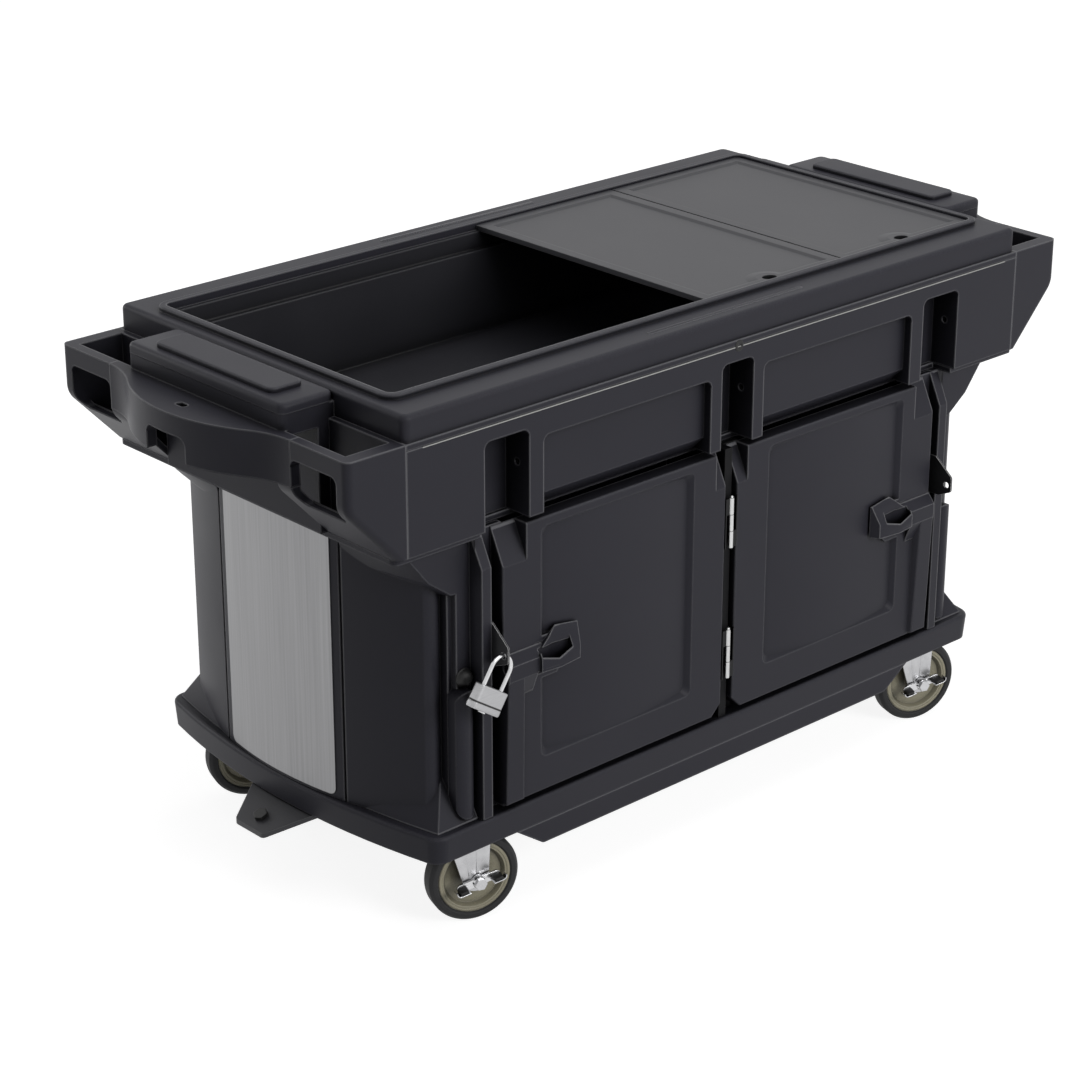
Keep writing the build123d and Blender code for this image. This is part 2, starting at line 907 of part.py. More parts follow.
def make_drain_stopper():
    seat = well_floor + drain_wall
    plug = along_z(Circle(drain_radius - drain_wall - fit), seat - drain_tail / 2, seat)
    plug += along_z(Circle(drain_radius + drain_wall), seat, seat + drain_wall)
    plug += along_z(Circle(drain_wall), seat + drain_wall, seat + drain_tail)
    plug += Pos(0, 0, seat + drain_tail) * Sphere(2 * drain_wall)
    return Pos(drain_x, 0, 0) * plug


# Well covers: sheet with a raised border and a finger hole
def make_right_cover():
    low = lip_top + liner_wall
    width = well_width - 2 * cover_gap
    body = rounded(cover_length, width, well_corner, low, rim_top - edge_round)
    inside = rounded(
        cover_length - 2 * cover_border, width - 2 * cover_border, deck_corner, low + cover_thickness, rim_top
    )
    body -= inside
    body -= Pos(0, finger_inset - width / 2, 0) * along_z(Circle(finger_radius), low, rim_top)
    return Pos(well_length / 2 - cover_gap - cover_length / 2, 0, 0) * body


# Corner bins: the rear right one, the others are mirrored
def make_right_rear_bin():
    profile = polygon(
        (deck_half, skirt_bottom),
        (deck_half + bin_toe, skirt_bottom),
        (ledge_half, skirt_bottom + bin_bend),
        (ledge_half, ledge_top),
        (deck_half, ledge_top),
    )
    bend = profile.vertices().sort_by(Axis.X)[-2:].sort_by(Axis.Y)[0]
    profile = fillet(bend, rail_wall * 2)
    body = along_y(profile, block_half, skirt_face)
    outer = body.faces().sort_by(Axis.Y)[-1].edges()
    corner = outer.filter_by(lambda e: e.center().X > deck_half + bin_toe / 2)
    corner = corner.filter_by(lambda e: e.center().Z < ledge_top - 1)
    corner = corner.filter_by(lambda e: e.center().Z > skirt_bottom + 1)
    body = fillet(corner, deck_corner)
    pocket = polygon(
        (deck_half + deck_corner, skirt_bottom + bin_floor),
        (deck_half + bin_toe, skirt_bottom + bin_floor),
        (ledge_half - rail_wall, skirt_bottom + bin_bend),
        (ledge_half - rail_wall, ledge_top),
        (deck_half + deck_corner, ledge_top),
    )
    body -= along_y(pocket, block_half, skirt_face - rail_wall - wall)
    high = ledge_top - rail_wall - deck_corner + 1
    low = skirt_bottom + bin_bend - rail_wall - wall
    width = skirt_face - rail_wall - wall - rail_half
    window = Pos(rail_half + width / 2, (high + low) / 2) * RectangleRounded(width, high - low, deck_corner)
    body -= along_x(window, ledge_half - 2 * rail_wall, ledge_half + 1)
    rail = ledge_top - ledge_thickness - rail_drop
    body -= block(ledge_half - rail_wall, ledge_half, block_half, rail_half, rail, ledge_top)
    return body


# End handle: block with a pad, ledge, and a bulging rail with a hand-hold
rail_share = 0.66


def rail_plan(x0, inset):
    turn = 2 * atan(rail_bulge / rail_half)
    both = rail_half / sin(turn)
    big = both * rail_share
    small = both - big
    big_x = rail_reach - big
    small_x = ledge_half + small
    join_x = big_x + (big - inset) * cos(turn)
    join_y = (big - inset) * sin(turn)
    mid_x = small_x - (small + inset) * cos(turn / 2)
    mid_y = rail_half - (small + inset) * sin(turn / 2)
    side = ledge_half - inset
    front = ThreePointArc((side, -rail_half), (mid_x, -mid_y), (join_x, -join_y))
    middle = ThreePointArc((join_x, -join_y), (rail_reach - inset, 0), (join_x, join_y))
    rear = ThreePointArc((join_x, join_y), (mid_x, mid_y), (side, rail_half))
    back = Polyline((side, rail_half), (x0, rail_half), (x0, -rail_half), (side, -rail_half))
    return make_face([front, middle, rear, back])


oval_length = 22.0
oval_width = 12.0
pad_margin = 45.0
handhold_corner = 15.0
rear_face = 32.0


def make_right_handle():
    inner = ledge_half - rail_wall
    ledge = rail_plan(inner - 1, 0)
    ledge -= Pos(inner / 2, 0) * Rectangle(inner, 3 * rail_half)
    ledge += Pos((deck_half + inner) / 2 + 1, 0) * Rectangle(inner - deck_half + 2, 2 * block_half)
    ledge -= Pos(deck_half / 2, 0) * Rectangle(deck_half, 3 * rail_half)
    ledge -= Pos(rail_reach - 2 * rail_wall, 0) * SlotOverall(oval_length, oval_width, rotation=90)
    body = along_z(ledge, seam, ledge_top)
    strip = rail_plan(inner - 1, 0) - rail_plan(deck_half, rail_wall)
    body += along_z(strip, seam - rail_drop, seam)
    top = Pos(deck_half + block_length / 2, 0) * RectangleRounded(block_length, 2 * block_half, deck_corner)
    crown = along_z(top, seam, ledge_top + block_rise)
    crown = fillet(crown.faces().sort_by(Axis.Z)[-1].edges(), deck_round)
    shoulder = ledge_top + block_rise - deck_round
    crown += block(deck_half, deck_half + deck_corner, -block_half, block_half, seam, shoulder)
    body += crown
    pad = Pos(deck_half + block_length / 2, 0) * RectangleRounded(
        block_length - 2 * rail_wall, 2 * (block_half - pad_margin), deck_corner
    )
    cushion = along_z(pad, ledge_top + block_rise, ledge_top + block_rise + pad_rise)
    body += fillet(cushion.faces().sort_by(Axis.Z)[-1].edges(), edge_round)
    body += block(deck_half, deck_half + rear_face, -block_half, block_half, skirt_bottom, seam)
    low = seam - rail_drop
    notch_top = low + handhold_rise
    notch = Pos(0, notch_top - handhold_rise) * RectangleRounded(
        2 * handhold_half, 2 * handhold_rise, handhold_corner
    )
    return body - along_x(notch, deck_half + rear_face + 1, rail_reach + 1)


# Tow tongue under the left end
tongue_root = 83.0
tongue_tip = 35.0
tongue_sheet = 8.0
tongue_reach = 58.0
tongue_in = 20.0
tongue_drop = 36.0
tongue_slope = 29.0
tongue_seat = 60.0
tow_bolt_radius = 7.0
tow_bolt_inset = 25.0
tongue_round = 10.0
tow_bolt_tail = 20.0
tow_nut = 6.4


def make_tow_tongue():
    back = tongue_in - base_reach
    tip = -base_reach - tongue_reach
    knee = base_under - tongue_drop
    profile = polygon(
        (back + tongue_seat, base_under),
        (back, base_under),
        (back, knee),
        (tip, knee - tongue_slope),
        (tip, knee - tongue_slope - tongue_sheet),
        (back + tongue_sheet, knee - tongue_sheet + tongue_sheet * tongue_slope / (back - tip)),
        (back + tongue_sheet, base_under - tongue_sheet),
        (back + tongue_seat, base_under - tongue_sheet),
    )
    body = along_y(profile, -tongue_root, tongue_root)
    plan = polygon(
        (back + tongue_seat, -tongue_root),
        (back + tongue_seat, tongue_root),
        (back, tongue_root),
        (tip, tongue_tip),
        (tip, -tongue_tip),
        (back, -tongue_root),
    )
    plan = fillet(plan.vertices().group_by(Axis.X)[0], tongue_round)
    body &= along_z(plan, knee - tongue_drop - tongue_slope, base_under)
    return body - tow_place() * along_z(Circle(tow_bolt_radius + fit), -tongue_seat, tongue_seat)


def tow_place():
    span = tongue_reach + tongue_in
    x = -base_reach - tongue_reach + tow_bolt_inset
    knee = base_under - tongue_drop
    z = knee - tongue_slope * (span - tow_bolt_inset) / span
    return Pos(x, 0, z) * Rot(0, -degrees(atan(tongue_slope / span)), 0)


def make_tow_bolt():
    head = along_z(RegularPolygon(2 * tow_bolt_radius - 2, 6), 0, tow_bolt_radius)
    shank = along_z(Circle(tow_bolt_radius), -tow_bolt_tail, 0)
    nut = along_z(RegularPolygon(2 * tow_bolt_radius - 2, 6), -tongue_sheet - tow_nut, -tongue_sheet)
    return tow_place() * (head + shank + nut)


# Casters, modelled with the swivel on Z and the wheel trailing along +X
race_radius = 32.0
plate_half = 38.0
plate_thickness = 6.0
race_height = 7.0
race_gap = 0.5
crown_sheet = 6.0
king_radius = 6.0
fork_eye = 14.0
fork_top = 36.0
rib_height = 1.5

race_low = base_under - plate_thickness - race_height
crown_high = race_low - race_gap
crown_low = crown_high - race_height + race_gap - 3.0
pivot_x = base_reach - pivot_margin
pivot_y = skirt_face - pivot_setback
pivots = {
    "left_front": (-pivot_x, -pivot_y),
    "right_front": (pivot_x, -pivot_y),
    "left_rear": (-pivot_x, pivot_y),
    "right_rear": (pivot_x, pivot_y),
}


def caster_place(name):
    x, y = pivots[name]
    return Pos(x, y, 0) * Rot(0, 0, caster_turn)


def on_axle(shape):
    return Pos(trail, 0, wheel_radius) * Rot(90, 0, 0) * shape


def make_caster_plate():
    length = 2 * plate_half
    plate = rounded(length, length - deck_corner, deck_round, race_low + race_height, base_under)
    plate += along_z(Circle(race_radius), race_low, race_low + race_height)
    plate += along_z(Circle(king_radius), crown_low - deck_round, race_low)
    nut = along_z(RegularPolygon(king_radius + 4, 6), crown_low - deck_round, crown_low - race_gap)
    return plate + nut


def make_caster_plates():
    plates = []
    for name in pivots:
        plates.append(caster_place(name) * make_caster_plate())
    return Compound(children=plates)


def fork_leg(width, top, sheet):
    eye = Pos(trail, wheel_radius) * Circle(width)
    edge = Line((-top, crown_low + crown_sheet), (top, crown_low + crown_sheet))
    outline = make_hull([*eye.edges(), *edge.edges()])
    return along_y(outline, 0, sheet)


def make_fork():
    crown = rounded(2 * fork_top, 2 * (fork_gap + fork_wall), deck_round, crown_low, crown_low + crown_sheet)
    crown += along_z(Circle(race_radius), crown_low + crown_sheet, crown_high)
    crown -= along_z(Circle(king_radius + fit), crown_low, crown_high)
    leg = fork_leg(fork_eye, fork_top, fork_wall)
    rib = fork_leg(fork_eye / 2, fork_top / 2, rib_height)
    outer = Pos(0, fork_gap, 0) * leg + Pos(0, fork_gap + fork_wall, 0) * rib
    body = crown + outer + swap_sides(outer)
    reach = fork_gap + fork_wall + rib_height
    return body - on_axle(along_z(Circle(axle_radius + fit), -reach, reach))


pedal_gap = 0.5
pedal_boss = 10.0
head_thickness = 6.0


def make_axle(extra):
    reach = fork_gap + fork_wall + rib_height
    outer = reach + extra
    shaft = along_z(Circle(axle_radius), -reach - head_thickness, outer)
    head = along_z(RegularPolygon(axle_radius + 4, 6), outer, outer + head_thickness)
    nut = along_z(RegularPolygon(axle_radius + 4, 6), -reach - head_thickness, -reach)
    return on_axle(shaft + head + nut)


hub_boss = 17.0
web_half = 5.0
seat_half = 13.0


def make_hub():
    boss = fork_gap - pedal_gap
    bore = axle_radius + fit
    profile = polygon(
        (bore, -boss),
        (hub_boss - 2, -boss),
        (hub_boss + 2, -web_half),
        (hub_radius - seat_half, -web_half),
        (hub_radius - deck_round, -seat_half),
        (hub_radius, -seat_half),
        (hub_radius, seat_half),
        (hub_radius - deck_round, seat_half),
        (hub_radius - seat_half, web_half),
        (hub_boss + 2, web_half),
        (hub_boss - 2, boss),
        (bore, boss),
    )
    return on_axle(revolve(Plane.XZ * profile, Axis.Z))


def make_tyre():
    half = wheel_width / 2
    profile = polygon(
        (hub_radius, -seat_half),
        (hub_radius + edge_round, -half),
        (wheel_radius - 5, -half),
        (wheel_radius, -half + wall),
        (wheel_radius, half - wall),
        (wheel_radius - 5, half),
        (hub_radius + edge_round, half),
        (hub_radius, seat_half),
    )
    shoulder = profile.vertices().filter_by(lambda v: v.X > hub_radius + edge_round + 1)
    profile = fillet(shoulder, edge_round)
    return on_axle(revolve(Plane.XZ * profile, Axis.Z))


pedal_tilt = 12.0
pedal_half = 38.0
pedal_width = 18.0
pedal_sheet = 5.0
pad_length = 20.0
pad_height = 9.0
pad_depth = 24.0
pedal_start = fork_gap + fork_wall + rib_height + pedal_gap


def make_pedal():
    outline = SlotOverall(2 * pedal_half + pedal_width, pedal_width)
    bar = along_z(outline, pedal_start, pedal_start + pedal_sheet)
    boss = along_z(Circle(pedal_width / 2 + 2), pedal_start, pedal_start + pedal_boss - 1)
    pedal = bar + boss - along_z(Circle(axle_radius + fit), 0, pedal_start + pedal_boss)
    return on_axle(Rot(0, 0, pedal_tilt) * pedal)


def make_pedal_pads():
    pads = []
    for side in (-1, 1):
        pad = Pos(side * pedal_half, 0) * RectangleRounded(pad_length, pad_height, edge_round)
        pad = along_z(pad, pedal_start + pedal_sheet, pedal_start + pad_depth)
        pads.append(on_axle(Rot(0, 0, pedal_tilt) * pad))
    return Compound(children=pads)


def save(shape, node):
    export_step(Pos(0, origin_shift, 0) * shape, f"parts/{node}.step")


def save_pair(shape, name):
    save(shape, "right_" + name)
    save(swap_ends(shape), "left_" + name)


save(make_base_tray(), "base_tray")
save(make_aprons(), "base_aprons")
save_pair(make_right_pod(), "pod")
save(make_jambs(), "door_jambs")
save_pair(make_right_end_panel(), "end_panel")
save(make_rear_wall(), "rear_wall")
save(make_centre_post(), "centre_post")
save_pair(make_right_door(), "door")
save_pair(make_right_pull(), "pull")
save(make_right_leaves(), "right_hinge_leaves")
save(make_left_leaves(), "left_hinge_leaves")
save(make_post_leaves(), "post_hinge_leaves")
save(make_hinge_pins(), "hinge_pins")
save(make_staples(), "hasp_staples")
save(make_shackle(), "padlock_shackle")
save(make_lock_body(), "padlock_body")
save(make_bumpers(), "pod_bumpers")
save(make_under_pan(), "under_pan")
skirt = make_front_skirt()
save(skirt, "front_skirt")
save(swap_sides(skirt), "rear_skirt")
save(make_deck(), "deck")
save(make_well_liner(), "well_liner")
save(make_well_foam(), "well_foam")
save(make_drain_fitting(), "drain_fitting")
save(make_drain_stopper(), "drain_stopper")
cover = make_right_cover()
save(cover, "right_cover")
save(Pos(-cover_length - cover_gap, 0, 0) * cover, "left_cover")
rear_bin = make_right_rear_bin()
save_pair(rear_bin, "rear_bin")
save_pair(swap_sides(rear_bin), "front_bin")
save_pair(make_right_handle(), "handle")
save(make_tow_tongue(), "tow_tongue")
save(make_tow_bolt(), "tow_bolt")
save(make_caster_plates(), "caster_plates")
for name in pivots:
    braked = name.endswith("front")
    place = caster_place(name)
    save(place * make_fork(), name + "_fork")
    save(place * make_axle(pedal_boss if braked else 0), name + "_axle")
    save(place * make_hub(), name + "_hub")
    save(place * make_tyre(), name + "_tyre")
    if braked:
        save(place * make_pedal(), name + "_pedal")
        save(place * make_pedal_pads(), name + "_pedal_pads")
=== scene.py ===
import json
import math
import bpy
from mathutils import Matrix, Vector


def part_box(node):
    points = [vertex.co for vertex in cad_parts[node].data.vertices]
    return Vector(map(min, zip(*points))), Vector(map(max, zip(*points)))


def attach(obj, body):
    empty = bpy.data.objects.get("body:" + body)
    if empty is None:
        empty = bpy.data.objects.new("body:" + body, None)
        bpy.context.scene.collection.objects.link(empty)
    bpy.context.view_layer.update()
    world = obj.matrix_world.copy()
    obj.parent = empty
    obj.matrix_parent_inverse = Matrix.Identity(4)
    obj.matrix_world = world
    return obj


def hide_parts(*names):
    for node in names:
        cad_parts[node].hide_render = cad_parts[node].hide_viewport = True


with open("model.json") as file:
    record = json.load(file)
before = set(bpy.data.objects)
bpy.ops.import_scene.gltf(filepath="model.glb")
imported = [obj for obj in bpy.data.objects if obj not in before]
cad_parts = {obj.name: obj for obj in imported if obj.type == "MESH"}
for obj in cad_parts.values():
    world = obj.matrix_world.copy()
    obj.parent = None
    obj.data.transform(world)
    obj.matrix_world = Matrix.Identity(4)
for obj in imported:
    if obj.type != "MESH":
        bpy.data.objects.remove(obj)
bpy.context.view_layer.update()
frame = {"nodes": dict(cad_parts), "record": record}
nodes = frame["nodes"]
deckLow, deckHigh = (Vector(corner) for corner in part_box("deck"))
midY = (deckLow.y + deckHigh.y) / 2  # the bar's own middle plane
print("frame loaded:", len(nodes), "nodes")


# Camera, at the photograph's place
cameraSetup = {
    "place": (-3.1457, midY - 3.3223, 2.3348),
    "target": (-0.0639, midY + 0.0383, 0.4084),
    "lens": 98.47,
    "sensor": 36.0,
    "clipEnd": 60.0,
}


def makeCamera(setup):
    data = bpy.data.cameras.new("photoCamera")
    data.lens = setup["lens"]
    data.sensor_width = setup["sensor"]
    data.clip_end = setup["clipEnd"]
    camera = bpy.data.objects.new("photoCamera", data)
    bpy.context.scene.collection.objects.link(camera)
    camera.location = setup["place"]
    look = Vector(setup["target"]) - camera.location
    camera.rotation_mode = "QUATERNION"
    camera.rotation_quaternion = look.to_track_quat("-Z", "Y")
    bpy.context.scene.camera = camera


makeCamera(cameraSetup)
bpy.context.scene.view_settings.view_transform = "Standard"
print("camera placed")


# Small shader tools
def newMaterial(name):
    material = bpy.data.materials.new(name)
    material.use_nodes = True
    return material, material.node_tree, material.node_tree.nodes["Principled BSDF"]


def spread(tree, value, low, high, start=0.0, end=1.0):
    level = tree.nodes.new("ShaderNodeMapRange")
    level.inputs["From Min"].default_value = start
    level.inputs["From Max"].default_value = end
    level.inputs["To Min"].default_value = low
    level.inputs["To Max"].default_value = high
    tree.links.new(value, level.inputs["Value"])
    return level.outputs["Result"]


def combine(tree, operation, first, second):
    node = tree.nodes.new("ShaderNodeMath")
    node.operation = operation
    tree.links.new(first, node.inputs[0])
    tree.links.new(second, node.inputs[1])
    return node.outputs[0]


# Studio: soft boxes, pale world and floor
studio = {
    "overhead": {"place": (0.1, -0.2, 3.4), "size": (4.2, 3.2), "power": 37.0, "aim": (0.1, 0.0, 0.8)},
    "front": {"place": (0.5, -4.3, 2.3), "size": (2.4, 1.8), "power": 84.0, "aim": (0.0, 0.0, 0.5)},
    "rear": {"place": (-1.9, 3.9, 1.7), "size": (1.6, 1.6), "power": 34.0, "aim": (-0.4, 0.0, 0.5)},
    "worldLight": 0.1,
    "floorSize": 40.0,
    "floorLevel": -0.001,
    "floorLift": (0.88, 1.0),
    "liftReach": (0.7, 1.7),
    "paper": {"Base Color": (0.42, 0.42, 0.42, 1.0), "Roughness": 0.9, "Specular IOR Level": 0.1,
              "Emission Color": (1.0, 1.0, 1.0, 1.0)},
}


def makeLamp(name, setup):
    data = bpy.data.lights.new(name, "AREA")
    data.shape = "RECTANGLE"
    data.size, data.size_y = setup["size"]
    data.energy = setup["power"]
    lamp = bpy.data.objects.new(name, data)
    bpy.context.scene.collection.objects.link(lamp)
    lamp.location = setup["place"]
    lamp.rotation_mode = "QUATERNION"
    lamp.rotation_quaternion = (Vector(setup["aim"]) - lamp.location).to_track_quat("-Z", "Y")


def seenDirectly(tree):
    path = tree.nodes.new("ShaderNodeLightPath")
    seen = path.outputs["Is Camera Ray"]
    for ray in ("Is Glossy Ray", "Is Transmission Ray"):
        seen = combine(tree, "MAXIMUM", seen, path.outputs[ray])
    return seen


def makeWorld(setup):
    world = bpy.data.worlds.new("paleStudio")
    bpy.context.scene.world = world
    world.use_nodes = True
    tree = world.node_tree
    back = tree.nodes["Background"]
    back.inputs["Color"].default_value = (1.0, 1.0, 1.0, 1.0)
    strength = spread(tree, seenDirectly(tree), setup["worldLight"], 1.0)
    tree.links.new(strength, back.inputs["Strength"])


def makeFloor(setup):
    bpy.ops.object.select_all(action="DESELECT")
    bpy.ops.mesh.primitive_plane_add(size=setup["floorSize"], location=(0.0, 0.0, setup["floorLevel"]))
    floor = bpy.context.active_object
    floor.name = "studioFloor"
    material, tree, paper = newMaterial("palePaper")
    for label, value in setup["paper"].items():
        paper.inputs[label].default_value = value
    place = tree.nodes.new("ShaderNodeTexCoord")
    away = tree.nodes.new("ShaderNodeVectorMath")
    away.operation = "LENGTH"
    tree.links.new(place.outputs["Object"], away.inputs[0])
    lift = spread(tree, away.outputs["Value"], *setup["floorLift"], *setup["liftReach"])
    glow = combine(tree, "MULTIPLY", seenDirectly(tree), lift)
    tree.links.new(glow, paper.inputs["Emission Strength"])
    floor.data.materials.append(material)


for lampName in ("overhead", "front", "rear"):
    makeLamp(lampName + "Box", studio[lampName])
makeWorld(studio)
makeFloor(studio)
print("studio lit")


# Shared surface effects
def newGroup(name, inputs, outputs):
    group = bpy.data.node_groups.new(name, "ShaderNodeTree")
    for label, kind, value in inputs:
        socket = group.interface.new_socket(name=label, in_out="INPUT", socket_type=kind)
        socket.default_value = value
    for label, kind in outputs:
        group.interface.new_socket(name=label, in_out="OUTPUT", socket_type=kind)
    return group, group.nodes.new("NodeGroupInput"), group.nodes.new("NodeGroupOutput")


def makeMouldedGrain():
    group, entry, outlet = newGroup(
        "mouldedGrain",
        [("Grain Scale", "NodeSocketFloat", 900.0), ("Blotch Scale", "NodeSocketFloat", 6.0)],
        [("Height", "NodeSocketFloat"), ("Blotch", "NodeSocketFloat")],
    )
    place = group.nodes.new("ShaderNodeTexCoord")
    for scale, detail, label in (("Grain Scale", 3.0, "Height"), ("Blotch Scale", 4.0, "Blotch")):
        noise = group.nodes.new("ShaderNodeTexNoise")
        noise.inputs["Detail"].default_value = detail
        group.links.new(place.outputs["Object"], noise.inputs["Vector"])
        group.links.new(entry.outputs[scale], noise.inputs["Scale"])
        group.links.new(noise.outputs["Fac"], outlet.inputs[label])
    return group


def addOcclusion(group, samples, local):
    hollow = group.nodes.new("ShaderNodeAmbientOcclusion")
    hollow.samples = samples
    hollow.only_local = local
    return hollow


# Ranges run from no effect to full effect
edgeSetup = {
    "bevelSamples": 6,
    "hollowSamples": 4,
    "radiusRange": (0.0, 0.01),
    "hollowReach": (0.0, 0.05),
    "turnedAway": (0.997, 0.93),
    "standsOpen": (0.7, 0.97),
    "upward": (-0.2, 0.0),
    # Crease range: local occlusion painted as shade in concave creases.
    "creaseShade": (0.93, 0.55),
    # Gap reach and range: occlusion from any part within reach, painted as shade in gaps, slots and recesses.
    "gapReach": 0.1,
    "gap": (0.68, 0.38),
    "raisedSamples": 6,
    "raised": (0.94, 0.7),
}


# softEdge gives the bevel normal and masks: convex edges and upward-facing edges for painted edge highlights,
# creases for painted shade, and gaps, slots and recesses for painted shade.
def makeSoftEdge(setup):
    group, entry, outlet = newGroup(
        "softEdge",
        [("Radius", "NodeSocketFloat", 0.003)],
        [("Normal", "NodeSocketVector"), ("Edge", "NodeSocketFloat"), ("Upward", "NodeSocketFloat"),
         ("CreaseShade", "NodeSocketFloat"), ("GapShade", "NodeSocketFloat")],
    )
    rounded = group.nodes.new("ShaderNodeBevel")
    rounded.samples = setup["bevelSamples"]
    group.links.new(entry.outputs["Radius"], rounded.inputs["Radius"])
    flat = group.nodes.new("ShaderNodeNewGeometry")
    meet = group.nodes.new("ShaderNodeVectorMath")
    meet.operation = "DOT_PRODUCT"
    group.links.new(rounded.outputs["Normal"], meet.inputs[0])
    group.links.new(flat.outputs["Normal"], meet.inputs[1])
    tilt = group.nodes.new("ShaderNodeSeparateXYZ")
    group.links.new(rounded.outputs["Normal"], tilt.inputs["Vector"])
    hollow = addOcclusion(group, setup["hollowSamples"], True)
    reach = spread(group, entry.outputs["Radius"], *setup["hollowReach"], *setup["radiusRange"])
    group.links.new(reach, hollow.inputs["Distance"])
    near = addOcclusion(group, setup["hollowSamples"], False)
    near.inputs["Distance"].default_value = setup["gapReach"]
    away = spread(group, meet.outputs["Value"], 0.0, 1.0, *setup["turnedAway"])
    clear = spread(group, hollow.outputs["AO"], 0.0, 1.0, *setup["standsOpen"])
    results = {
        "Normal": rounded.outputs["Normal"],
        "Edge": combine(group, "MULTIPLY", away, clear),
        "Upward": spread(group, tilt.outputs["Z"], 0.0, 1.0, *setup["upward"]),
        "CreaseShade": spread(group, hollow.outputs["AO"], 0.0, 1.0, *setup["creaseShade"]),
        "GapShade": spread(group, near.outputs["AO"], 0.0, 1.0, *setup["gap"]),
    }
    for label, value in results.items():
        group.links.new(value, outlet.inputs[label])
    return group


# raisedEdge masks raised convex edges, where pale lines are painted as a highlight.
def makeRaisedEdge(setup):
    inputs = [("Reach", "NodeSocketFloat", 0.003)]
    group, entry, outlet = newGroup("raisedEdge", inputs, [("Edge", "NodeSocketFloat")])
    within = addOcclusion(group, setup["raisedSamples"], True)
    within.inside = True
    group.links.new(entry.outputs["Reach"], within.inputs["Distance"])
    edge = spread(group, within.outputs["AO"], 0.0, 1.0, *setup["raised"])
    group.links.new(edge, outlet.inputs["Edge"])
    return group


mouldedGrain = makeMouldedGrain()
softEdge = makeSoftEdge(edgeSetup)
raisedEdge = makeRaisedEdge(edgeSetup)


def useGroup(tree, group, **values):
    node = tree.nodes.new("ShaderNodeGroup")
    node.node_tree = group
    for label, value in values.items():
        node.inputs[label.replace("_", " ")].default_value = value
    return node


def mixColour(tree, mask, first, second):
    mix = tree.nodes.new("ShaderNodeMix")
    mix.data_type = "RGBA"
    for socket, colour in ((mix.inputs["A"], first), (mix.inputs["B"], second)):
        if isinstance(colour, tuple):
            socket.default_value = (*colour, 1.0)
        else:
            tree.links.new(colour, socket)
    tree.links.new(mask, mix.inputs["Factor"])
    return mix.outputs["Result"]


def addBump(tree, body, height, normal, strength):
    bump = tree.nodes.new("ShaderNodeBump")
    bump.inputs["Strength"].default_value = strength
    bump.inputs["Distance"].default_value = 0.001
    tree.links.new(height, bump.inputs["Height"])
    tree.links.new(normal, bump.inputs["Normal"])
    tree.links.new(bump.outputs["Normal"], body.inputs["Normal"])


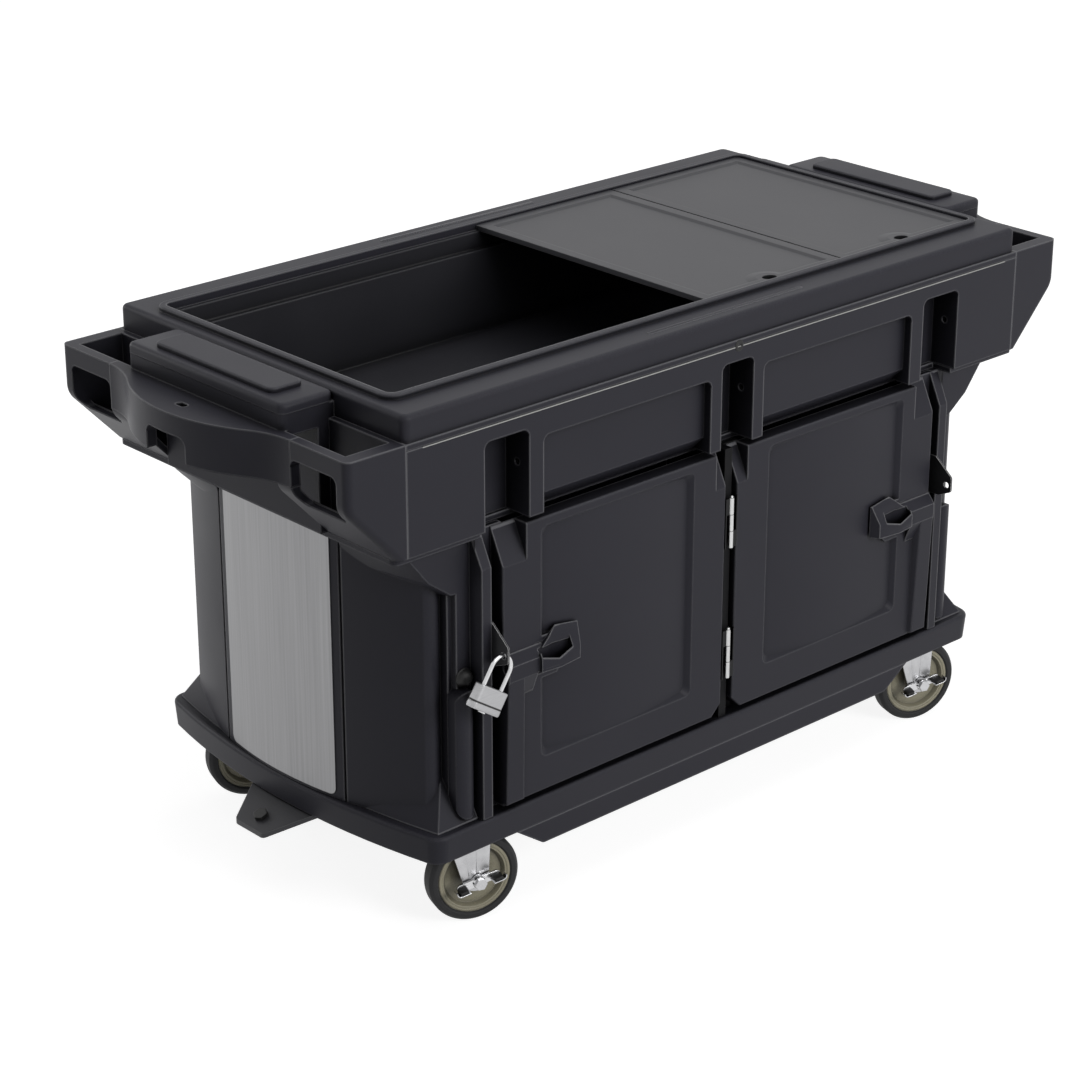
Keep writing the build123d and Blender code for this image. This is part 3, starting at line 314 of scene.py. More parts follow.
# Moulded plastics: body, liner, covers, pulls, hubs
# Each plastic has a pale colour painted on its convex edges as a highlight, and darker shares painted into
# creases and into gaps and recesses as shade.
plasticShare = {"creaseShade": 0.35, "gap": 0.12, "edgeHighlightMix": 0.75}
plastics = {
    "shell": {"dark": (0.0285, 0.028, 0.037), "pale": (0.0375, 0.037, 0.0465), "edgeHighlight": (0.22, 0.22, 0.235),
              "rough": (0.36, 0.5), "gloss": 0.12, "grain": 700.0, "bump": 0.05, "edge": 0.0032,
              "reach": 0.003},
    # Near-black for the centre post: painted shade for the dark gap between the doors.
    "post": {"dark": (0.006, 0.006, 0.007), "pale": (0.009, 0.009, 0.01), "edgeHighlight": (0.03, 0.03, 0.03),
             "rough": (0.5, 0.6), "gloss": 0.1, "grain": 700.0, "bump": 0.05, "edge": 0.002},
    "pull": {"dark": (0.0265, 0.026, 0.035), "pale": (0.035, 0.0345, 0.044), "edgeHighlight": (0.32, 0.32, 0.335),
             "rough": (0.36, 0.46), "gloss": 0.12, "grain": 900.0, "bump": 0.04, "edge": 0.003},
    "liner": {"dark": (0.017, 0.017, 0.021), "pale": (0.024, 0.024, 0.029), "edgeHighlight": (0.06, 0.06, 0.066),
              "rough": (0.4, 0.5), "gloss": 0.25, "grain": 700.0, "bump": 0.05, "edge": 0.004},
    "cover": {"dark": (0.044, 0.044, 0.05), "pale": (0.058, 0.058, 0.065), "edgeHighlight": (0.16, 0.16, 0.17),
              "rough": (0.42, 0.5), "gloss": 0.3, "grain": 1100.0, "bump": 0.06, "edge": 0.002},
    "bumper": {"dark": (0.012, 0.012, 0.012), "pale": (0.02, 0.02, 0.02), "edgeHighlight": (0.06, 0.06, 0.06),
               "rough": (0.45, 0.6), "gloss": 0.3, "grain": 1500.0, "bump": 0.03, "edge": 0.001},
    "stopper": {"dark": (0.02, 0.02, 0.02), "pale": (0.03, 0.03, 0.03), "edgeHighlight": (0.06, 0.06, 0.06),
                "rough": (0.6, 0.75), "gloss": 0.3, "grain": 1500.0, "bump": 0.03, "edge": 0.001},
    "drain": {"dark": (0.45, 0.45, 0.43), "pale": (0.55, 0.55, 0.53), "edgeHighlight": (0.6, 0.6, 0.6),
              "rough": (0.35, 0.45), "gloss": 0.5, "grain": 1500.0, "bump": 0.02, "edge": 0.001},
    "hub": {"dark": (0.45, 0.415, 0.29), "pale": (0.53, 0.495, 0.36), "edgeHighlight": (0.6, 0.57, 0.45),
            "rough": (0.35, 0.5), "gloss": 0.5, "grain": 1200.0, "bump": 0.03, "edge": 0.002},
    "tyre": {"dark": (0.028, 0.028, 0.03), "pale": (0.04, 0.04, 0.042), "edgeHighlight": (0.07, 0.07, 0.07),
             "rough": (0.6, 0.75), "gloss": 0.3, "grain": 1600.0, "bump": 0.08, "edge": 0.002},
    "pedal_pad": {"dark": (0.014, 0.014, 0.014), "pale": (0.022, 0.022, 0.022), "edgeHighlight": (0.07, 0.07, 0.07),
                  "rough": (0.5, 0.65), "gloss": 0.3, "grain": 1600.0, "bump": 0.05, "edge": 0.001},
    "tongue": {"dark": (0.036, 0.036, 0.042), "pale": (0.046, 0.046, 0.052), "edgeHighlight": (0.14, 0.14, 0.14),
               "rough": (0.4, 0.5), "gloss": 0.4, "grain": 900.0, "bump": 0.04, "edge": 0.002},
    "bolt": {"dark": (0.01, 0.01, 0.01), "pale": (0.015, 0.015, 0.015), "edgeHighlight": (0.07, 0.07, 0.07),
             "rough": (0.35, 0.45), "gloss": 0.4, "grain": 1500.0, "bump": 0.02, "edge": 0.001},
    "foam": {"dark": (0.6, 0.55, 0.35), "pale": (0.7, 0.65, 0.45), "edgeHighlight": (0.7, 0.65, 0.45),
             "rough": (0.8, 0.9), "gloss": 0.2, "grain": 400.0, "bump": 0.3, "edge": 0.001},
}


def darker(colour, share):
    return tuple(share * value for value in colour)


def makePlastic(name, setup):
    material, tree, body = newMaterial(name + "Plastic")
    body.inputs["Specular IOR Level"].default_value = setup["gloss"]
    grain = useGroup(tree, mouldedGrain, Grain_Scale=setup["grain"])
    edge = useGroup(tree, softEdge, Radius=setup["edge"])
    tone = mixColour(tree, grain.outputs["Blotch"], setup["dark"], setup["pale"])
    # Painted shade in concave creases.
    tone = mixColour(tree, edge.outputs["CreaseShade"], tone, darker(setup["dark"], plasticShare["creaseShade"]))
    # Painted shade in gaps, slots and recesses near other surfaces.
    tone = mixColour(tree, edge.outputs["GapShade"], tone, darker(setup["dark"], plasticShare["gap"]))
    # Pale edge lines are a painted highlight; on the shell they are kept to upward-facing edges, where light
    # from above falls.
    line = edge.outputs["Edge"]
    if "reach" in setup:
        raised = useGroup(tree, raisedEdge, Reach=setup["reach"])
        line = combine(tree, "MULTIPLY", raised.outputs["Edge"], edge.outputs["Upward"])
    edgeHighlightMix = spread(tree, line, 0.0, plasticShare["edgeHighlightMix"])
    tree.links.new(mixColour(tree, edgeHighlightMix, tone, setup["edgeHighlight"]), body.inputs["Base Color"])
    tree.links.new(spread(tree, grain.outputs["Blotch"], *setup["rough"]), body.inputs["Roughness"])
    addBump(tree, body, grain.outputs["Height"], edge.outputs["Normal"], setup["bump"])
    return material


# Metals: brushed panel, zinc, chrome, lock body
pinLow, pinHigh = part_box("hinge_pins")
hingeLine = ((pinLow[0] + pinHigh[0]) / 2, (pinLow[1] + pinHigh[1]) / 2, 0.0)
metals = {
    "end_panel": {"dark": (0.17, 0.17, 0.175), "pale": (0.3, 0.3, 0.305), "rough": (0.32, 0.5), "metal": 1.0,
                  "stretch": (260.0, 260.0, 3.0), "bump": 0.04, "edge": 0.001},
    # Hinge: knuckle barrels near the pin line stay bright metal; leaves farther out are painted near-black as
    # shade.
    "hinge": {"dark": (0.45, 0.45, 0.45), "pale": (0.62, 0.62, 0.62), "rough": (0.25, 0.4), "metal": 1.0,
              "stretch": (300.0, 300.0, 60.0), "bump": 0.03, "edge": 0.0008,
              "barrel": (0.0043, 0.0047), "line": hingeLine, "flat": (0.02, 0.02, 0.021)},
    # Staple: the pale colour on its edges is a painted highlight.
    "staple": {"dark": (0.02, 0.02, 0.022), "pale": (0.035, 0.035, 0.038), "rough": (0.35, 0.5), "metal": 0.6,
               "stretch": (300.0, 300.0, 300.0), "bump": 0.03, "edge": 0.0012, "highlightEdge": (0.55, 0.55, 0.55)},
    "shackle": {"dark": (0.5, 0.5, 0.51), "pale": (0.66, 0.66, 0.67), "rough": (0.12, 0.22), "metal": 1.0,
                "stretch": (200.0, 200.0, 200.0), "bump": 0.01, "edge": 0.0005},
    "lock": {"dark": (0.32, 0.32, 0.33), "pale": (0.45, 0.45, 0.46), "rough": (0.28, 0.42), "metal": 1.0,
             "stretch": (60.0, 60.0, 900.0), "bump": 0.03, "edge": 0.001},
    "zinc": {"dark": (0.37, 0.37, 0.38), "pale": (0.55, 0.55, 0.56), "rough": (0.2, 0.38), "metal": 1.0,
             "stretch": (80.0, 80.0, 80.0), "bump": 0.02, "edge": 0.001},
    "axle": {"dark": (0.45, 0.45, 0.46), "pale": (0.6, 0.6, 0.61), "rough": (0.22, 0.36), "metal": 1.0,
             "stretch": (120.0, 120.0, 120.0), "bump": 0.02, "edge": 0.001},
    "pedal": {"dark": (0.5, 0.5, 0.51), "pale": (0.68, 0.68, 0.69), "rough": (0.15, 0.3), "metal": 1.0,
              "stretch": (90.0, 90.0, 90.0), "bump": 0.02, "edge": 0.001},
}


def offLine(tree, place, line, fade):
    level = tree.nodes.new("ShaderNodeVectorMath")
    level.operation = "MULTIPLY"
    level.inputs[1].default_value = (1.0, 1.0, 0.0)
    tree.links.new(place.outputs["Object"], level.inputs[0])
    reach = tree.nodes.new("ShaderNodeVectorMath")
    reach.operation = "DISTANCE"
    reach.inputs[1].default_value = line
    tree.links.new(level.outputs["Vector"], reach.inputs[0])
    return spread(tree, reach.outputs["Value"], 0.0, 1.0, *fade)


def makeMetal(name, setup):
    material, tree, body = newMaterial(name + "Metal")
    body.inputs["Metallic"].default_value = setup["metal"]
    place = tree.nodes.new("ShaderNodeTexCoord")
    turn = tree.nodes.new("ShaderNodeMapping")
    turn.inputs["Scale"].default_value = setup["stretch"]
    streak = tree.nodes.new("ShaderNodeTexNoise")
    streak.inputs["Scale"].default_value = 1.0
    streak.inputs["Detail"].default_value = 6.0
    tree.links.new(place.outputs["Object"], turn.inputs["Vector"])
    tree.links.new(turn.outputs["Vector"], streak.inputs["Vector"])
    edge = useGroup(tree, softEdge, Radius=setup["edge"])
    tone = mixColour(tree, streak.outputs["Fac"], setup["dark"], setup["pale"])
    # Painted highlight: pale colour on the staple's edges.
    if "highlightEdge" in setup:
        tone = mixColour(tree, edge.outputs["Edge"], tone, setup["highlightEdge"])
    # Painted shade: near-black away from the hinge pin line.
    if "barrel" in setup:
        tone = mixColour(tree, offLine(tree, place, setup["line"], setup["barrel"]), tone, setup["flat"])
    tree.links.new(tone, body.inputs["Base Color"])
    tree.links.new(spread(tree, streak.outputs["Fac"], *setup["rough"]), body.inputs["Roughness"])
    addBump(tree, body, streak.outputs["Fac"], edge.outputs["Normal"], setup["bump"])
    return material


finishes = {}
for slotName, setup in plastics.items():
    finishes[slotName] = makePlastic(slotName, setup)
for slotName, setup in metals.items():
    finishes[slotName] = makeMetal(slotName, setup)
for part in frame["record"]["subparts"]:
    node = nodes[part["node"]]
    node.data.materials.clear()
    node.data.materials.append(finishes[part["material_slot"]])
# The centre post gets the near-black painted shade finish.
nodes["centre_post"].data.materials[0] = finishes["post"]  # stays dark in the gap between the doors
print("finishes given:", len(finishes))


# Small tools for the added pieces
def addPrimitive(kind, **size):
    bpy.ops.object.select_all(action="DESELECT")
    getattr(bpy.ops.mesh, "primitive_" + kind + "_add")(**size)
    return bpy.context.active_object


def makeBlock(size, middle=(0.0, 0.0, 0.0)):
    block = addPrimitive("cube", size=1.0, location=middle)
    block.scale = size
    bpy.ops.object.transform_apply(location=True, rotation=False, scale=True)
    return block


def chooseFaces(piece, test):
    bpy.ops.object.mode_set(mode="EDIT")
    bpy.ops.mesh.select_mode(type="FACE")
    bpy.ops.mesh.select_all(action="DESELECT")
    bpy.ops.object.mode_set(mode="OBJECT")
    for face in piece.data.polygons:
        face.select = test(face.center, face.normal)
    bpy.ops.object.mode_set(mode="EDIT")


def chooseEdges(piece, test):
    bpy.ops.object.mode_set(mode="EDIT")
    bpy.ops.mesh.select_mode(type="EDGE")
    bpy.ops.mesh.select_all(action="DESELECT")
    bpy.ops.object.mode_set(mode="OBJECT")
    points = piece.data.vertices
    for edge in piece.data.edges:
        edge.select = test(points[edge.vertices[0]].co, points[edge.vertices[1]].co)
    bpy.ops.object.mode_set(mode="EDIT")


def facesUp(centre, normal):
    return normal.z > 0.9


def facesDown(centre, normal):
    return normal.z < -0.9


def uprightEdges(height):
    return lambda a, b: abs(a.z - b.z) > height / 2


def useModifier(piece, kind, **values):
    bpy.ops.object.mode_set(mode="OBJECT")
    modifier = piece.modifiers.new(kind.lower(), kind)
    for label, value in values.items():
        setattr(modifier, label, value)
    bpy.context.view_layer.objects.active = piece
    bpy.ops.object.modifier_apply(modifier=modifier.name)


def useTool(piece, tool, operation):
    useModifier(piece, "BOOLEAN", operation=operation, object=tool, solver="EXACT")
    bpy.data.objects.remove(tool)


# Shape the chosen end face into a rim with a slot
def cutSlot(setup):
    bpy.ops.mesh.inset(thickness=setup["rim"])
    bpy.ops.transform.translate(value=(0.0, 0.0, setup["rise"]))
    bpy.ops.mesh.inset(thickness=setup["slotRim"])
    bpy.ops.transform.resize(value=setup["slotShape"])
    bpy.ops.mesh.extrude_region_move(TRANSFORM_OT_translate={"value": (0.0, 0.0, setup["slotRise"])})
    bpy.ops.object.mode_set(mode="OBJECT")


def settle(piece, name, place, body, slotName, smooth=35):
    if piece.mode != "OBJECT":
        bpy.ops.object.mode_set(mode="OBJECT")
    bpy.ops.object.select_all(action="DESELECT")
    piece.select_set(True)
    bpy.context.view_layer.objects.active = piece
    piece.matrix_world = place @ piece.matrix_world
    bpy.ops.object.transform_apply(location=True, rotation=True, scale=True)
    bpy.ops.object.shade_smooth_by_angle(angle=math.radians(smooth))
    piece.name = name
    piece.data.materials.clear()
    piece.data.materials.append(finishes[slotName])
    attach(piece, body)


def copyPiece(piece):
    twin = piece.copy()
    twin.data = piece.data.copy()
    bpy.context.scene.collection.objects.link(twin)
    return twin


def settleMany(piece, name, places, slotName):
    for number, (place, body) in enumerate(places[1:], 2):
        settle(copyPiece(piece), name + str(number), place, body, slotName)
    settle(piece, name + "1", places[0][0], places[0][1], slotName)


def moveTo(x, y, z):
    return Matrix.Translation((x, y, z))


def turnAbout(axis, angle):
    return Matrix.Rotation(math.radians(angle), 4, axis)


# Padlock: black band painted as the groove's shade, foot band, key plug
padlock = {
    "hole": (-0.5035, -0.3625, 0.4725),
    "bow": 0.02,
    "turn": 69.5,
    "tilt": 33.5,
    "drop": 0.031,
    "size": (0.062, 0.02, 0.0385),
    "corner": 0.006,
    "grooveAt": 0.7,
    "grooveHeight": 0.0028,
    "grooveProud": 0.0003,
    "footProud": 0.0005,
    "footLift": 0.003,
    "footGap": 0.0006,
}
keyPlug = {
    "radius": 0.0062,
    "depth": 0.0024,
    "sink": 0.0008,
    "rim": 0.0012,
    "rise": 0.0005,
    "slotRim": 0.002,
    "slotShape": (1.5, 0.22, 1.0),
    "slotRise": 0.0009,
}


def makeLockBand(setup, height, proud):
    length, depth = setup["size"][:2]
    band = makeBlock((length + 2 * proud, depth + 2 * proud, height))
    chooseEdges(band, uprightEdges(height))
    bpy.ops.mesh.bevel(offset=setup["corner"] + proud, segments=6, affect="EDGES")
    chooseFaces(band, lambda centre, normal: abs(normal.z) > 0.9)
    bpy.ops.mesh.delete(type="FACE")
    useModifier(band, "SOLIDIFY", thickness=3 * proud, offset=-1.0)
    return band


def makeKeyPlug(setup):
    plug = addPrimitive("cylinder", vertices=32, radius=setup["radius"], depth=setup["depth"])
    chooseFaces(plug, facesDown)
    cutSlot(setup)
    return plug


turn = math.radians(padlock["turn"])
lockPlace = moveTo(
    padlock["hole"][0] - padlock["bow"] * math.cos(turn),
    midY + padlock["hole"][1],
    padlock["hole"][2] - padlock["bow"] * math.sin(turn),
) @ turnAbout("Y", padlock["tilt"])
lockHeight = padlock["size"][2]
grooveHeight = padlock["grooveHeight"]
grooveZ = -padlock["drop"] - padlock["grooveAt"] * lockHeight
# The groove is a thin black band standing proud of the body, painted shade for the groove.
groove = makeLockBand(padlock, grooveHeight, padlock["grooveProud"])
settle(groove, "lockGrooveShade", lockPlace @ moveTo(0, 0, grooveZ), "lock_body", "bolt")
footHeight = (1.0 - padlock["grooveAt"]) * lockHeight - grooveHeight / 2 - padlock["footLift"]
footZ = grooveZ - grooveHeight / 2 - footHeight / 2 - padlock["footGap"]
footBand = makeLockBand(padlock, footHeight, padlock["footProud"])
settle(footBand, "lockFootBand", lockPlace @ moveTo(0, 0, footZ), "lock_body", "lock")
plugZ = -padlock["drop"] - lockHeight - keyPlug["sink"]
settle(makeKeyPlug(keyPlug), "lockKeyPlug", lockPlace @ moveTo(0, 0, plugZ), "lock_body", "shackle")
print("padlock dressed")


# Casters: pressed forks, brake bars with lipped pads, rim beads on the hubs, plate bolts
casters = {
    "places": {"left_front": (-0.52, -0.282), "right_front": (0.52, -0.282),
               "left_rear": (-0.52, 0.282), "right_rear": (0.52, 0.282)},
    "turn": -18.0,
    "trail": 0.014,
    "axleHeight": 0.075,
}
rimBead = {"radius": 0.0572, "size": 0.0024, "flat": 0.55, "face": 0.013}
plateBolt = {"radius": 0.0065, "height": 0.0052, "spread": (0.031, 0.025), "level": 0.179,
             "chamfer": 0.12, "corner": 0.06}
casterFork = {
    "top": 0.038,
    "eye": 0.0185,
    "eyeRound": 0.9,
    "crown": 0.168,
    "outside": 0.024,
    "wall": 0.0035,
    "margin": 0.01,
    "press": 0.0012,
    "pressStep": 0.0012,
    "pressShare": 0.5,
    "edge": 0.0006,
}
brakeBar = {
    "tilt": 12.0,
    "start": 0.0262,
    "sheet": 0.0042,
    "reach": 0.0295,
    "width": 0.014,
    "endRound": 0.45,
    "edge": 0.0007,
    "boss": 0.0115,
    "bossTop": 0.8,
    "bossHeight": 0.0085,
    "bossGap": 0.0002,
    "padSize": (0.016, 0.0062),
    "padStart": 0.0304,
    "padEnd": 0.046,
    "padTaper": (0.84, 0.8, 1.0),
    "padRound": 0.0014,
    "lipInset": 0.002,
    "lipGap": 0.0002,
    "lipSteps": ((0.003, 0.0006), (0.002, 0.0022), (0.0006, 0.003)),
    "lipSheet": 0.0016,
    "lipEdge": 0.0005,
}


def swivelPlace(name):
    x, y = casters["places"][name]
    return moveTo(x, midY + y, 0) @ turnAbout("Z", casters["turn"])


def axlePlace(name):
    return swivelPlace(name) @ moveTo(casters["trail"], 0, casters["axleHeight"]) @ turnAbout("X", 90)


def casterLabel(name, piece):
    return name.replace("_f", "F").replace("_r", "R") + piece


def makeFork(setup):
    foot = casters["axleHeight"] - setup["eye"]
    height = setup["crown"] - foot
    fork = makeBlock((2 * setup["top"], 2 * setup["outside"], height), (0.0, 0.0, foot + height / 2))
    chooseFaces(fork, facesDown)
    bpy.ops.transform.resize(value=(setup["eye"] / setup["top"], 1.0, 1.0))
    bpy.ops.transform.translate(value=(casters["trail"], 0.0, 0.0))
    chooseEdges(fork, lambda a, b: max(a.z, b.z) < foot + 0.001 and abs(a.y - b.y) > setup["outside"])
    bpy.ops.mesh.bevel(offset=setup["eyeRound"] * setup["eye"], segments=8, affect="EDGES")
    chooseFaces(fork, lambda centre, normal: abs(normal.y) < 0.5 and normal.z < 0.9)
    bpy.ops.mesh.delete(type="FACE")
    chooseFaces(fork, lambda centre, normal: abs(normal.y) > 0.9)
    bpy.ops.mesh.inset(thickness=setup["margin"], use_individual=True)
    bpy.ops.transform.resize(value=(setup["pressShare"], 1.0, 1.0))
    bpy.ops.mesh.inset(thickness=setup["pressStep"], use_individual=True)
    bpy.ops.transform.resize(value=(1.0, 1.0 + setup["press"] / setup["outside"], 1.0))
    useModifier(fork, "SOLIDIFY", thickness=setup["wall"], offset=-1.0)
    useModifier(fork, "BEVEL", width=setup["edge"], segments=2, limit_method="ANGLE")
    return fork


def makeBrakeBar(setup):
    start, sheet, width = setup["start"], setup["sheet"], setup["width"]
    bar = makeBlock((2 * setup["reach"] + width, width, sheet), (0.0, 0.0, start + sheet / 2))
    chooseEdges(bar, uprightEdges(sheet))
    bpy.ops.mesh.bevel(offset=setup["endRound"] * width, segments=6, affect="EDGES")
    bpy.ops.object.mode_set(mode="OBJECT")
    bossMiddle = start + setup["bossHeight"] / 2 + setup["bossGap"]
    boss = addPrimitive("cone", vertices=40, radius1=setup["boss"], radius2=setup["bossTop"] * setup["boss"],
                        depth=setup["bossHeight"], location=(0.0, 0.0, bossMiddle))
    useTool(bar, boss, "UNION")
    useModifier(bar, "BEVEL", width=setup["edge"], segments=2, limit_method="ANGLE")
    return bar


def makeBrakePad(setup, side):
    length, height = setup["padSize"]
    depth = setup["padEnd"] - setup["padStart"]
    middle = (side * setup["reach"], 0.0, setup["padStart"] + depth / 2)
    pad = makeBlock((length, height, depth), middle)
    chooseFaces(pad, facesUp)
    bpy.ops.transform.resize(value=setup["padTaper"])
    useModifier(pad, "BEVEL", width=setup["padRound"], segments=3)
    return pad


def makePadLip(setup, side):
    length, height = setup["padSize"]
    lip = addPrimitive("plane", size=1.0)
    lip.scale = (length, setup["padEnd"] - setup["padStart"], 1.0)
    bpy.ops.object.transform_apply(location=False, rotation=False, scale=True)
    far = length / 2 - 0.001
    for across, up in setup["lipSteps"]:
        chooseEdges(lip, lambda a, b: a.x > far and b.x > far)
        bpy.ops.mesh.extrude_region_move(TRANSFORM_OT_translate={"value": (across, 0.0, up)})
        bpy.ops.object.mode_set(mode="OBJECT")
        far = max(point.co.x for point in lip.data.vertices) - 0.0002
    useModifier(lip, "SOLIDIFY", thickness=setup["lipSheet"], offset=-1.0)
    useModifier(lip, "BEVEL", width=setup["lipEdge"], segments=2)
    middle = (setup["padStart"] + setup["padEnd"]) / 2
    seat = moveTo(setup["reach"] - setup["lipInset"], -height / 2 - setup["lipGap"], side * middle)
    lip.matrix_world = turnAbout("Y", 0 if side > 0 else 180) @ seat @ turnAbout("X", -90)
    return lip


def makeHexHead(setup):
    radius, height = setup["radius"], setup["height"]
    head = addPrimitive("cylinder", vertices=6, radius=radius, depth=height)
    chooseFaces(head, facesDown)
    bpy.ops.mesh.inset(thickness=setup["chamfer"] * radius)
    bpy.ops.transform.translate(value=(0.0, 0.0, -setup["chamfer"] * height))
    chooseEdges(head, uprightEdges(height))
    bpy.ops.mesh.bevel(offset=setup["corner"] * radius, segments=2, affect="EDGES")
    bpy.ops.object.mode_set(mode="OBJECT")
    return head


def makeRimBead(setup):
    bead = addPrimitive("torus", major_radius=setup["radius"], minor_radius=setup["size"],
                        major_segments=72, minor_segments=10)
    bpy.ops.object.mode_set(mode="EDIT")
    bpy.ops.mesh.select_all(action="SELECT")
    bpy.ops.transform.resize(value=(1.0, 1.0, setup["flat"]))
    bpy.ops.object.mode_set(mode="OBJECT")
    return bead


beadPlaces = []
boltPlaces = []
for casterName in casters["places"]:
    swivel, axle = swivelPlace(casterName), axlePlace(casterName)
    fork = makeFork(casterFork)
    settle(fork, casterLabel(casterName, "ForkPress"), swivel, casterName + "_swivel", "zinc")
    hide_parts(casterName + "_fork")
    for side in (-1, 1):
        beadPlaces.append((axle @ moveTo(0, 0, side * rimBead["face"]), casterName + "_wheel"))
    boltX, boltY = plateBolt["spread"]
    boltZ = plateBolt["level"] - plateBolt["height"] / 2
    for x in (-boltX, boltX):
        for y in (-boltY, boltY):
            boltPlaces.append((swivel @ moveTo(x, y, boltZ), "cart"))
settleMany(makeRimBead(rimBead), "hubRimBead", beadPlaces, "hub")
settleMany(makeHexHead(plateBolt), "casterPlateBolt", boltPlaces, "axle")
for casterName in ("left_front", "right_front"):
    tilted = axlePlace(casterName) @ turnAbout("Z", brakeBar["tilt"])
    brake = casterName + "_brake"
    bar = makeBrakeBar(brakeBar)
    settle(bar, casterLabel(casterName, "BrakeBar"), tilted, brake, "pedal")
    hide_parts(casterName + "_pedal")
    for side, end in ((-1, "Heel"), (1, "Toe")):
        pad = makeBrakePad(brakeBar, side)
        settle(pad, casterLabel(casterName, end + "Pad"), tilted, brake, "pedal_pad")
        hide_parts(casterName + "_pedal_pads")
        settle(makePadLip(brakeBar, side), casterLabel(casterName, end + "Lip"), tilted, brake, "pedal")
print("casters dressed")


# Countersunk screws in the hinge leaves, on the doors' edges
hingeScrew = {
    "leafFace": 0.011,
    "sink": 0.0003,
    "centres": (0.309, 0.538),
    "rows": (-0.028, 0.0, 0.028),
    "inset": 0.328,
    "radius": 0.0042,
    "depth": 0.001,
    "rim": 0.00105,
    "rise": 0.0003,
    "slotRim": 0.00126,
    "slotShape": (1.6, 0.3, 1.0),
    "slotRise": -0.0006,
}


def makeScrew(setup):
    screw = addPrimitive("cylinder", vertices=24, radius=setup["radius"], depth=setup["depth"])
    chooseFaces(screw, facesUp)
    cutSlot(setup)
    return screw


screwPlaces = []
screwFace = hingeScrew["leafFace"] - hingeScrew["sink"]
for side, doorName in ((-1, "left_door"), (1, "right_door")):
    for centre in hingeScrew["centres"]:
        for row in hingeScrew["rows"]:
            spot = moveTo(side * screwFace, midY - hingeScrew["inset"], centre + row)
            screwPlaces.append((spot @ turnAbout("Y", -90 * side), doorName))
settleMany(makeScrew(hingeScrew), "hingeScrew", screwPlaces, "hinge")
print("hinge screws set:", len(screwPlaces))


# Threaded insert in the middle of each long side, on the seam under the deck
seamInsert = {"level": 0.836, "radius": 0.0095, "depth": 0.006, "sink": 0.0028, "rim": 0.0014,
              "proud": 0.0012, "hole": 0.0038, "holeDepth": 0.0055, "edge": 0.0005}


def makeInsert(setup):
    insert = addPrimitive("cylinder", vertices=40, radius=setup["radius"], depth=setup["depth"])
    chooseFaces(insert, facesUp)
    bpy.ops.mesh.inset(thickness=setup["rim"])
    bpy.ops.transform.translate(value=(0.0, 0.0, setup["proud"]))
    bpy.ops.mesh.inset(thickness=setup["radius"] - setup["rim"] - setup["hole"])
    bpy.ops.mesh.extrude_region_move(TRANSFORM_OT_translate={"value": (0.0, 0.0, -setup["holeDepth"])})
    useModifier(insert, "BEVEL", width=setup["edge"], segments=2, limit_method="ANGLE")
    return insert


insertPlaces = []
for side in (-1, 1):
    face = deckLow.y if side < 0 else deckHigh.y
    spot = moveTo(0, face - side * seamInsert["sink"], seamInsert["level"])
    insertPlaces.append((spot @ turnAbout("X", -90 * side), "cart"))
settleMany(makeInsert(seamInsert), "seamInsert", insertPlaces, "bumper")
print("seam inserts set:", len(insertPlaces))


# Seam under the deck: fine bead in a pale finish as a painted highlight, with a black strip above it as
# painted shade
deckSeam = {"level": 0.8346, "height": 0.0016, "proud": 0.0009, "depth": 0.004, "corner": 0.03,
            "line": 0.0018, "lineSink": 0.0006, "round": 0.3}


def makeSeamStrip(setup, length, height):
    strip = makeBlock((length, setup["depth"], height))
    useModifier(strip, "BEVEL", width=setup["round"] * height, segments=3)
    return strip


seamLength = deckHigh.x - deckLow.x - 2 * deckSeam["corner"]
for side, label in ((-1, "front"), (1, "rear")):
    face = deckLow.y if side < 0 else deckHigh.y
    bead = makeSeamStrip(deckSeam, seamLength, deckSeam["height"])
    beadY = face + side * (deckSeam["proud"] - deckSeam["depth"] / 2)
    # Pale finish on the bead: painted highlight along the seam.
    settle(bead, label + "SeamHighlightBead", moveTo(0, beadY, deckSeam["level"]), "cart", "drain")
    line = makeSeamStrip(deckSeam, seamLength, deckSeam["line"])
    lineZ = deckSeam["level"] + (deckSeam["height"] + deckSeam["line"]) / 2
    lineY = beadY - side * deckSeam["lineSink"]
    # Black strip above the bead: painted shade in the seam.
    settle(line, label + "SeamShadeLine", moveTo(0, lineY, lineZ), "cart", "bolt")
print("seams drawn")


# Bare raised strips on the deck, beside the well
bareStrip = {"middles": {"near": (0.0, -0.318), "far": (0.005, 0.317)}, "level": 0.887,
             "size": (0.34, 0.009, 0.0012), "corner": 0.004, "edge": 0.0005}


def makeBareStrip(setup):
    strip = makeBlock(setup["size"])
    chooseEdges(strip, uprightEdges(setup["size"][2]))
    bpy.ops.mesh.bevel(offset=setup["corner"], segments=5, affect="EDGES")
    chooseFaces(strip, facesUp)
    bpy.ops.mesh.bevel(offset=setup["edge"], segments=2, affect="EDGES")
    bpy.ops.object.mode_set(mode="OBJECT")
    return strip


for label, (x, y) in bareStrip["middles"].items():
    spot = moveTo(x, midY + y, bareStrip["level"])
    settle(makeBareStrip(bareStrip), label + "DeckStrip", spot, "cart", "pull")


# Caps that raise the end blocks round their low pads
blockCap = {"size": (0.0965, 0.3766, 0.0165), "middle": 0.72, "padTop": 0.0078,
            "corner": 0.0125, "round": 0.007}


